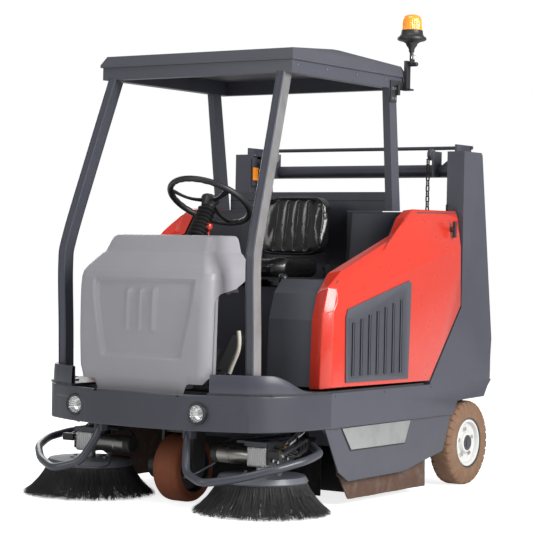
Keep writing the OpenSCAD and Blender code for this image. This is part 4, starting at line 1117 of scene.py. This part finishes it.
hub_line = [(-0.034, 0.022), (-0.034, 0.030), (-0.004, 0.036), (0.004, 0.042), (0.012, 0.042),
            (0.017, 0.038), (0.019, 0.028), (0.020, 0.001)]
hub = lathe(hub_line, 48, black_moulded, "steering_hub", along="Z")
hub.data.transform(Matrix.Translation(wheel_mid) @ tilt)
placed(hub, "steering", "black_plastic", crisp=40)
boot_line = []
for i in range(8):
    z = -0.190 + i * 0.019
    boot_line += [(z, 0.033 - i * 0.0006), (z + 0.0055, 0.0445 - i * 0.0008),
                  (z + 0.0085, 0.0455 - i * 0.0008), (z + 0.014, 0.034 - i * 0.0006)]
boot_line += [(-0.037, 0.030), (-0.036, 0.024)]
boot = lathe(boot_line, 64, black_rubber, "column_pleats", along="Z")
boot.data.transform(Matrix.Translation(wheel_mid) @ tilt)
placed(boot, "chassis", "black_rubber", "column_boot", crisp=60)


# ---- Beacon -------------------------------------------------------------------------------------
# An amber beacon on a rubber foot. It folds down about a bolt in its bracket, and a pin with a pull ring
# locks it upright.
amber_finish = Finish("amber_lens", (0.95, 0.30, 0.02), 0.12, coat=0.5, specular=0.7)
# The emission lights the beacon and also makes the mast's reflector glow, a painted glint.
amber_finish.set("Emission Color", (1.0, 0.30, 0.02, 1))
amber_finish.set("Emission Strength", 0.25)
amber = amber_finish.material
dome_low, dome_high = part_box("beacon_dome")
axis = ((dome_low.x + dome_high.x) / 2, (dome_low.y + dome_high.y) / 2)
base_z = dome_low.z


def dome_ribs(along_axis, radius, angle):
    """Upright prisms moulded in the dome's side."""
    return 0.0009 * math.cos(angle * 36) * (1 if radius > 0.040 else 0)


dome_line = [(0.000, 0.0455), (0.004, 0.0470), (0.008, 0.0455), (0.030, 0.0435), (0.050, 0.0415),
             (0.058, 0.0395), (0.064, 0.035), (0.069, 0.026), (0.072, 0.014), (0.0728, 0.001)]
dome = lathe(dome_line, 144, amber, "beacon_lens", along="Z", shape=dome_ribs)
placed(move(dome, *axis, base_z), "beacon", "amber_lens", "beacon_dome", crisp=50)
foot_line = [(-0.166, 0.001), (-0.166, 0.009), (-0.104, 0.009), (-0.100, 0.0125), (-0.088, 0.0135),
             (-0.078, 0.019), (-0.074, 0.023), (-0.062, 0.028), (-0.054, 0.040), (-0.049, 0.060),
             (-0.045, 0.0665), (-0.040, 0.068), (-0.034, 0.0665), (-0.029, 0.058), (-0.022, 0.0525),
             (-0.008, 0.0505), (-0.002, 0.0500), (0.0, 0.046)]
foot = lathe(foot_line, 96, black_moulded, "beacon_foot", along="Z")
placed(move(foot, *axis, base_z), "beacon", "black_plastic", "beacon_stem", crisp=40)
pivot_z = 1.987
knuckle_line = [(-0.026, 0.001), (-0.026, 0.008), (-0.018, 0.010), (0.030, 0.010), (0.034, 0.006),
                (0.034, 0.001)]
knuckle = lathe(knuckle_line, 24, satin_black, "beacon_knuckle")
placed(move(knuckle, *axis, pivot_z), "chassis", "black_paint", crisp=35)
ring_line = [(axis[0] + 0.024 + 0.011 * math.cos(math.pi / 6 * i), axis[1] - 0.022,
              pivot_z + 0.030 + 0.011 * math.sin(math.pi / 6 * i)) for i in range(12)]
ring = tube("pin_ring", ring_line, 0.0016, chrome, closed=True)
placed(ring, "chassis", "chrome_trim")
tag = box_piece("pin_tag", (axis[0] + 0.010, axis[1] - 0.026, pivot_z + 0.004),
                (axis[0] + 0.030, axis[1] - 0.020, pivot_z + 0.020), satin_black, radius=0.003)
placed(tag, "chassis", "black_paint")
clamp_spots = [(0.5235, y, z) for y in (0.257, 0.284) for z in (1.822, 1.868)]
clamp = small_bolts("bracket_bolts", clamp_spots, "X", 0.0075, 0.006, drawn_steel)
placed(clamp, "chassis", "chrome_trim")
socket = box_piece("bracket_socket", (0.522, 0.283, 1.838), (0.540, 0.299, 1.885), satin_black, radius=0.003)
placed(socket, "chassis", "black_paint")


# ---- Mast ---------------------------------------------------------------------------------------
# Each column's tray carries the lift chain over a pulley. The cross tube is clamped in a flanged cup, and
# gussets tie it to the bars. A reflector sits on the right-hand column.
cross_y, cross_z, cross_r = 0.819, 1.512, 0.0315
link_pitch = 0.0254


def prism_faces(base, count):
    """The walls and both ends of a prism whose two outlines of count points start at base."""
    walls = [(base + k, base + (k + 1) % count, base + count + (k + 1) % count, base + count + k)
             for k in range(count)]
    return walls + [tuple(base + k for k in range(count)), tuple(base + count + k for k in range(count))]


def chain_mesh(x, y, bottom, top):
    """Roller chain seen from its side: pairs of waisted plates, every second pair outside the first."""
    verts, faces = [], []
    plate_line = [(0.0055 * (0.62 + 0.38 * abs(math.cos(a))) * math.cos(a) * 1.25, 0.0165 * math.sin(a))
                  for a in (2 * math.pi * k / 14 for k in range(14))]
    pin_line = [(0.0036 * math.cos(2 * math.pi * k / 8), 0.0036 * math.sin(2 * math.pi * k / 8))
                for k in range(8)]
    for i in range(int((top - bottom) / link_pitch)):
        z = bottom + (i + 0.5) * link_pitch
        wide = 0.0062 if i % 2 else 0.0044
        for sign in (-1, 1):
            faces += prism_faces(len(verts), len(plate_line))
            for dx in (0, 0.0014):
                verts += [(x + sign * (wide + dx), y + v, z + w) for v, w in plate_line]
        faces += prism_faces(len(verts), len(pin_line))
        for dx in (-0.0084, 0.0084):
            verts += [(x + dx, y + v, z + link_pitch / 2 + w) for v, w in pin_line]
    return verts, faces


chain_low, chain_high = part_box("lift_chains")
chain_x = chain_high.x - 0.007
chain_y = (chain_low.y + chain_high.y) / 2
ram_x = 0.543
pulley_line = [(-0.010, 0.012), (-0.010, 0.0275), (-0.006, 0.0275), (-0.004, 0.021), (0.004, 0.021),
               (0.006, 0.0275), (0.010, 0.0275), (0.010, 0.012), (0.014, 0.009), (0.016, 0.001)]
cup_line = [(0.520, cross_r), (0.524, cross_r + 0.006), (0.545, cross_r + 0.008), (0.5455, cross_r + 0.018),
            (0.552, cross_r + 0.020), (0.556, cross_r + 0.012)]
cup_turns = (0.8, 2.3, 3.9, 5.5)
gusset_line = ((0.480, cross_z + 0.030), (0.545, cross_z + 0.030), (0.545, cross_z + 0.078))
gland_line = [(0.0, 0.0262), (0.002, 0.0305), (0.022, 0.0305), (0.026, 0.027), (0.027, 0.0185)]
for name, side in both_sides:
    chain = mesh_piece("chain_" + name, *chain_mesh(side * chain_x, chain_y, chain_low.z, chain_high.z),
                       chain_steel, flat=True)
    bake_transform(chain)
    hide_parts("lift_chains")
    pulley = lathe(pulley_line, 48, drawn_steel, "pulley_" + name)
    placed(move(pulley, side * chain_x, 0.750, 1.589), "mast", "chrome_trim", crisp=30)
    cup = lathe([(side * x, r) for x, r in cup_line], 56, charcoal, "cross_cup_" + name)
    placed(move(cup, 0, cross_y, cross_z), "mast", "charcoal_paint", crisp=30)
    cup_spots = [(side * 0.542, cross_y + 0.046 * math.cos(a), cross_z + 0.046 * math.sin(a))
                 for a in cup_turns]
    cup_bolts = small_bolts("cup_bolts_" + name, cup_spots, "X", 0.006, 0.006, drawn_steel)
    placed(cup_bolts, "mast", "chrome_trim")
    gusset = mesh_piece("gusset_" + name,
                        [(side * x, cross_y + dy, z) for dy in (-0.004, 0.004) for x, z in gusset_line],
                        [(0, 1, 2), (3, 4, 5), (0, 1, 4, 3), (1, 2, 5, 4), (2, 0, 3, 5)], charcoal, flat=True)
    placed(gusset, "mast", "charcoal_paint")
    rod = lathe([(0, 0.018), (0.46, 0.018)], 40, chrome, "ram_rod_" + name, along="Z")
    placed(move(rod, side * ram_x, cross_y, 1.009), "mast", "chrome_trim", crisp=30)
    gland = lathe(gland_line, 40, satin_black, "ram_gland_" + name, along="Z")
    placed(move(gland, side * ram_x, cross_y, 0.982), "chassis", "black_paint", crisp=30)
# The reflector takes the emitting amber, so it glows though it is no lamp: a painted glint.
reflector = box_piece("amber_reflector", (-0.5705, 0.716, 1.470), (-0.5655, 0.760, 1.535), amber,
                      radius=0.002)
placed(reflector, "mast", "amber_lens")
wing = box_piece("cover_wing_screw", (0.600, 0.640, 1.314), (0.616, 0.652, 1.345), satin_black, radius=0.003)
placed(wing, "cover_left", "black_paint")


# ---- Front posts --------------------------------------------------------------------------------
# Each front post is a channel with a swept knee. Its outer flange is bare anodised strip, the rest is
# painted, and a flat foot is welded across its lower end.
strip_alloy = metal("anodised_strip", (0.50, 0.49, 0.49), 0.42, (1, 1, 0.08), 0.1)
for name, side in both_sides:
    route = curve_through([Vector((0.507, -0.8055, 0.512)), Vector((0.507, -0.8125, 0.75)),
                           Vector((0.507, -0.8235, 1.03)), Vector((0.5035, -0.803, 1.155)),
                           Vector((0.484, -0.685, 1.49)), Vector((0.459, -0.550, 1.869))], 10)
    channel, strip = [], []
    for i, spot in enumerate(route):
        ahead_of = (route[min(i + 1, len(route) - 1)] - route[max(i - 1, 0)]).normalized()
        face = Vector((1, 0, 0))
        deep = ahead_of.cross(face).normalized()
        corner = 0.004
        for u, v in ((-1, -1), (1, -1), (1, 1), (-1, 1)):
            for du, dv in (((corner, 0), (0, corner)) if u * v > 0 else ((0, corner), (corner, 0))):
                point = spot + face * u * (0.021 - du) + deep * v * (0.031 - dv)
                channel.append((side * point.x, point.y, point.z))
        for u, v in ((0.0206, -0.0265), (0.0220, -0.0255), (0.0220, 0.0255), (0.0206, 0.0265)):
            point = spot + face * u + deep * v
            strip.append((side * point.x, point.y, point.z))
    post = mesh_piece("front_post_" + name, channel, grid_faces(len(route), 8, closed=True), charcoal)
    placed(post, "chassis", "charcoal_paint", "front_posts", crisp=25)
    flange = mesh_piece("post_strip_" + name, strip, grid_faces(len(route), 4, closed=True), strip_alloy)
    placed(flange, "chassis", "cast_aluminium", crisp=25)
    foot_plate = box_piece("post_foot_" + name, (0.465, -0.826, 0.512), (0.535, -0.765, 0.520), charcoal,
                           side)
    placed(foot_plate, "chassis", "charcoal_paint")


# ---- Splash guards ------------------------------------------------------------------------------
# A low curved fender follows each front corner of the platform and tapers out beside the driver's step.
fender_top = 0.588
for name, side in both_sides:
    line = [p for p in half_line if p.x > 0.372 and p.y < -0.560]
    verts = []
    for i, spot in enumerate(line):
        before, after = line[max(0, i - 1)], line[min(len(line) - 1, i + 1)]
        along = (after - before).normalized()
        inward = Vector((-along.y, along.x))
        top = 0.514 + (fender_top - 0.514) * (1 - smooth(-0.80, -0.56, spot.y)) ** 1.2
        for inset, z in ((0.008, 0.512), (0.009, 0.512 + (top - 0.512) * 0.5), (0.011, top - 0.006),
                         (0.014, top - 0.001), (0.020, top), (0.026, top - 0.003), (0.027, 0.512)):
            verts.append((side * (spot.x + inward.x * inset), spot.y + inward.y * inset, max(z, 0.512)))
    fender = mesh_piece("fender_" + name, verts, grid_faces(len(line), 7), charcoal)
    modify(fender, "SOLIDIFY", thickness=0.002, offset=0)
    placed(fender, "chassis", "charcoal_paint", "splash_guards", crisp=40)


# ---- Floor mat and dash details -----------------------------------------------------------------
# A ribbed rubber mat lies on the platform. The dash carries a red stop button and a red knob, and a
# short cream hose climbs beside it.
mat_ribs = [((0, -0.775 + i * 0.017, 0.5135), (0.64, 0.008, 0.003)) for i in range(34)]
floor_mat = bars("floor_mat_ribs", mat_ribs, black_rubber)
placed(floor_mat, "chassis", "black_rubber")
stop_line = [(0, 0.014), (0.010, 0.014), (0.012, 0.021), (0.018, 0.022), (0.023, 0.018), (0.025, 0.001)]
stop_button = lathe(stop_line, 40, cover_red, "stop_button", along="Z")
placed(move(stop_button, -0.120, -0.690, 1.010), "chassis", "red_plastic", crisp=40)
knob = lathe([(-0.03, 0.006), (0.0, 0.006), (0.002, 0.016), (0.012, 0.020), (0.024, 0.018), (0.030, 0.010),
              (0.031, 0.001)], 32, cover_red, "red_knob", along="Z")
placed(move(knob, 0.030, -0.490, 1.195), "chassis", "red_plastic", crisp=40)
cream_hose = elastomer("cream_hose", (0.62, 0.58, 0.50), 0.5, 0.1)
hose_route = [(0.236, -0.598, 0.575), (0.252, -0.600, 0.612), (0.284, -0.602, 0.665), (0.291, -0.602, 0.706),
              (0.286, -0.606, 0.760)]
hose = tube("cream_hose", hose_route, 0.0105, cream_hose, 16)
placed(hose, "chassis", "black_rubber")


# ---- Linkage behind the side brushes ------------------------------------------------------------
# A lift spring, a damper, hoses and wires hang between each brush arm and the chassis rail. The steel
# fittings and brass unions join them to a bracket on the arm.
spring_turns, spring_r, wire_r = 11, 0.013, 0.0024
damper_route = [(0.575, -0.700, 0.250), (0.575, -0.650, 0.262), (0.575, -0.560, 0.284),
                (0.575, -0.500, 0.300)]
# How far each hose starts back from the first one and above it, and how far it sags.
hose_lays = ((0.000, 0.000, 0.045), (0.022, 0.012, 0.060), (0.045, 0.006, 0.035), (-0.020, 0.020, 0.025),
             (0.060, 0.030, 0.070))
fitting_spots = ((0.533, -0.690, 0.225), (0.533, -0.655, 0.215), (0.533, -0.615, 0.240),
                 (0.533, -0.580, 0.225), (0.533, -0.545, 0.262), (0.593, -0.712, 0.252))
union_spots = ((0.548, -0.665, 0.262), (0.552, -0.630, 0.280), (0.540, -0.596, 0.258))
wire_route = [(0.330, -0.930, 0.400), (0.345, -0.890, 0.350), (0.380, -0.860, 0.335), (0.430, -0.835, 0.345),
              (0.480, -0.815, 0.372)]
for name, side in both_sides:
    body = "brush_lift_" + name
    spring_line = []
    for i in range(spring_turns * 10 + 1):
        a = 2 * math.pi * i / 10
        t = i / (spring_turns * 10)
        spring_line.append((side * (0.545 + spring_r * math.cos(a)),
                            -0.600 + 0.115 * t + spring_r * 0.3 * math.sin(a),
                            0.286 + 0.050 * t + spring_r * math.sin(a)))
    spring = tube("lift_spring_" + name, spring_line, wire_r, drawn_steel, 8)
    placed(spring, body, "chrome_trim")
    damper = tube("damper_" + name, mirrored(damper_route, side), 0.011, satin_black, 20)
    placed(damper, body, "black_paint")
    bracket = box_piece("link_bracket_" + name, (0.521, -0.715, 0.205), (0.530, -0.520, 0.300), satin_black,
                        side, 0.002)
    placed(bracket, body, "black_paint")
    ear = box_piece("link_ear_" + name, (0.530, -0.725, 0.236), (0.590, -0.700, 0.268), satin_black, side,
                    0.003)
    placed(ear, body, "black_paint")
    for i, (dy, dz, sag) in enumerate(hose_lays):
        route = [(0.505, -0.660 + dy, 0.270 + dz), (0.560, -0.640 + dy, 0.262 + dz - sag * 0.4),
                 (0.600, -0.585 + dy, 0.262 + dz - sag), (0.575, -0.520 + dy, 0.300 + dz - sag * 0.3),
                 (0.515, -0.500 + dy, 0.325)]
        hose = tube("link_hose_%s_%d" % (name, i), mirrored(route, side), 0.0045 + 0.0012 * (i % 2),
                    cable_black, 12)
        placed(hose, body, "black_rubber")
    fittings = small_bolts("link_fittings_" + name, mirrored(fitting_spots, side), "X", 0.0075, 0.010,
                           drawn_steel)
    placed(fittings, body, "chrome_trim")
    unions = small_bolts("link_unions_" + name, mirrored(union_spots, side), "Y", 0.0085, 0.020, brass)
    placed(unions, body, "chrome_trim")
    wire = tube("lamp_wire_" + name, mirrored(wire_route, side), 0.003, cable_black)
    placed(wire, "chassis", "black_rubber")


# ---- Studio -------------------------------------------------------------------------------------
# A pale floor under a white sky, which is bright where it is seen and dim as a light. A broad soft key
# stands on the driver's left, with weak fill from the front, from above and from behind.
floor_size = 9.0
floor_finish = Finish("studio_floor", (0.80, 0.80, 0.80), 0.8, specular=0.1)
seen_direct = floor_finish.node("ShaderNodeLightPath")
floor_finish.set("Emission Color", floor_finish.mix(seen_direct, (0.1, 0.1, 0.1), (1, 1, 1)))
floor_finish.set("Emission Strength", 0.80)
studio_floor = mesh_piece("studio_floor", [(-floor_size, -floor_size, 0), (floor_size, -floor_size, 0),
                                           (floor_size, floor_size, 0), (-floor_size, floor_size, 0)],
                          [(0, 1, 2, 3)], floor_finish.material)
bpy.context.scene.view_settings.view_transform = "Standard"
world = bpy.data.worlds.new("studio")
bpy.context.scene.world = world
world.use_nodes = True
sky = world.node_tree.nodes["Background"]
sky.inputs["Color"].default_value = (1, 1, 1, 1)
seen = world.node_tree.nodes.new("ShaderNodeLightPath")
sky_level = world.node_tree.nodes.new("ShaderNodeMapRange")
sky_level.inputs["To Min"].default_value = 0.34
sky_level.inputs["To Max"].default_value = 1.0
world.node_tree.links.new(seen.outputs["Is Camera Ray"], sky_level.inputs["Value"])
world.node_tree.links.new(sky_level.outputs["Result"], sky.inputs["Strength"])


def soft_light(name, place, aim, size, watts):
    data = bpy.data.lights.new(name, "AREA")
    data.shape = "RECTANGLE"
    data.size, data.size_y = size
    data.energy = watts
    light = bpy.data.objects.new(name, data)
    light.location = place
    light.rotation_euler = (Vector(aim) - Vector(place)).to_track_quat("-Z", "Y").to_euler()
    bpy.context.scene.collection.objects.link(light)


soft_light("key", (5.0, -0.6, 3.0), (0, 0.2, 1.1), (2.6, 3.0), 330)
soft_light("front", (-1.5, -6.0, 2.8), (0, 0, 0.8), (2.0, 2.0), 75)
soft_light("top", (0.5, -1.5, 5.5), (0, 0, 0.8), (2.5, 2.5), 70)
soft_light("back", (-4.5, 3.0, 3.0), (0, 0, 1.0), (2.5, 2.5), 80)
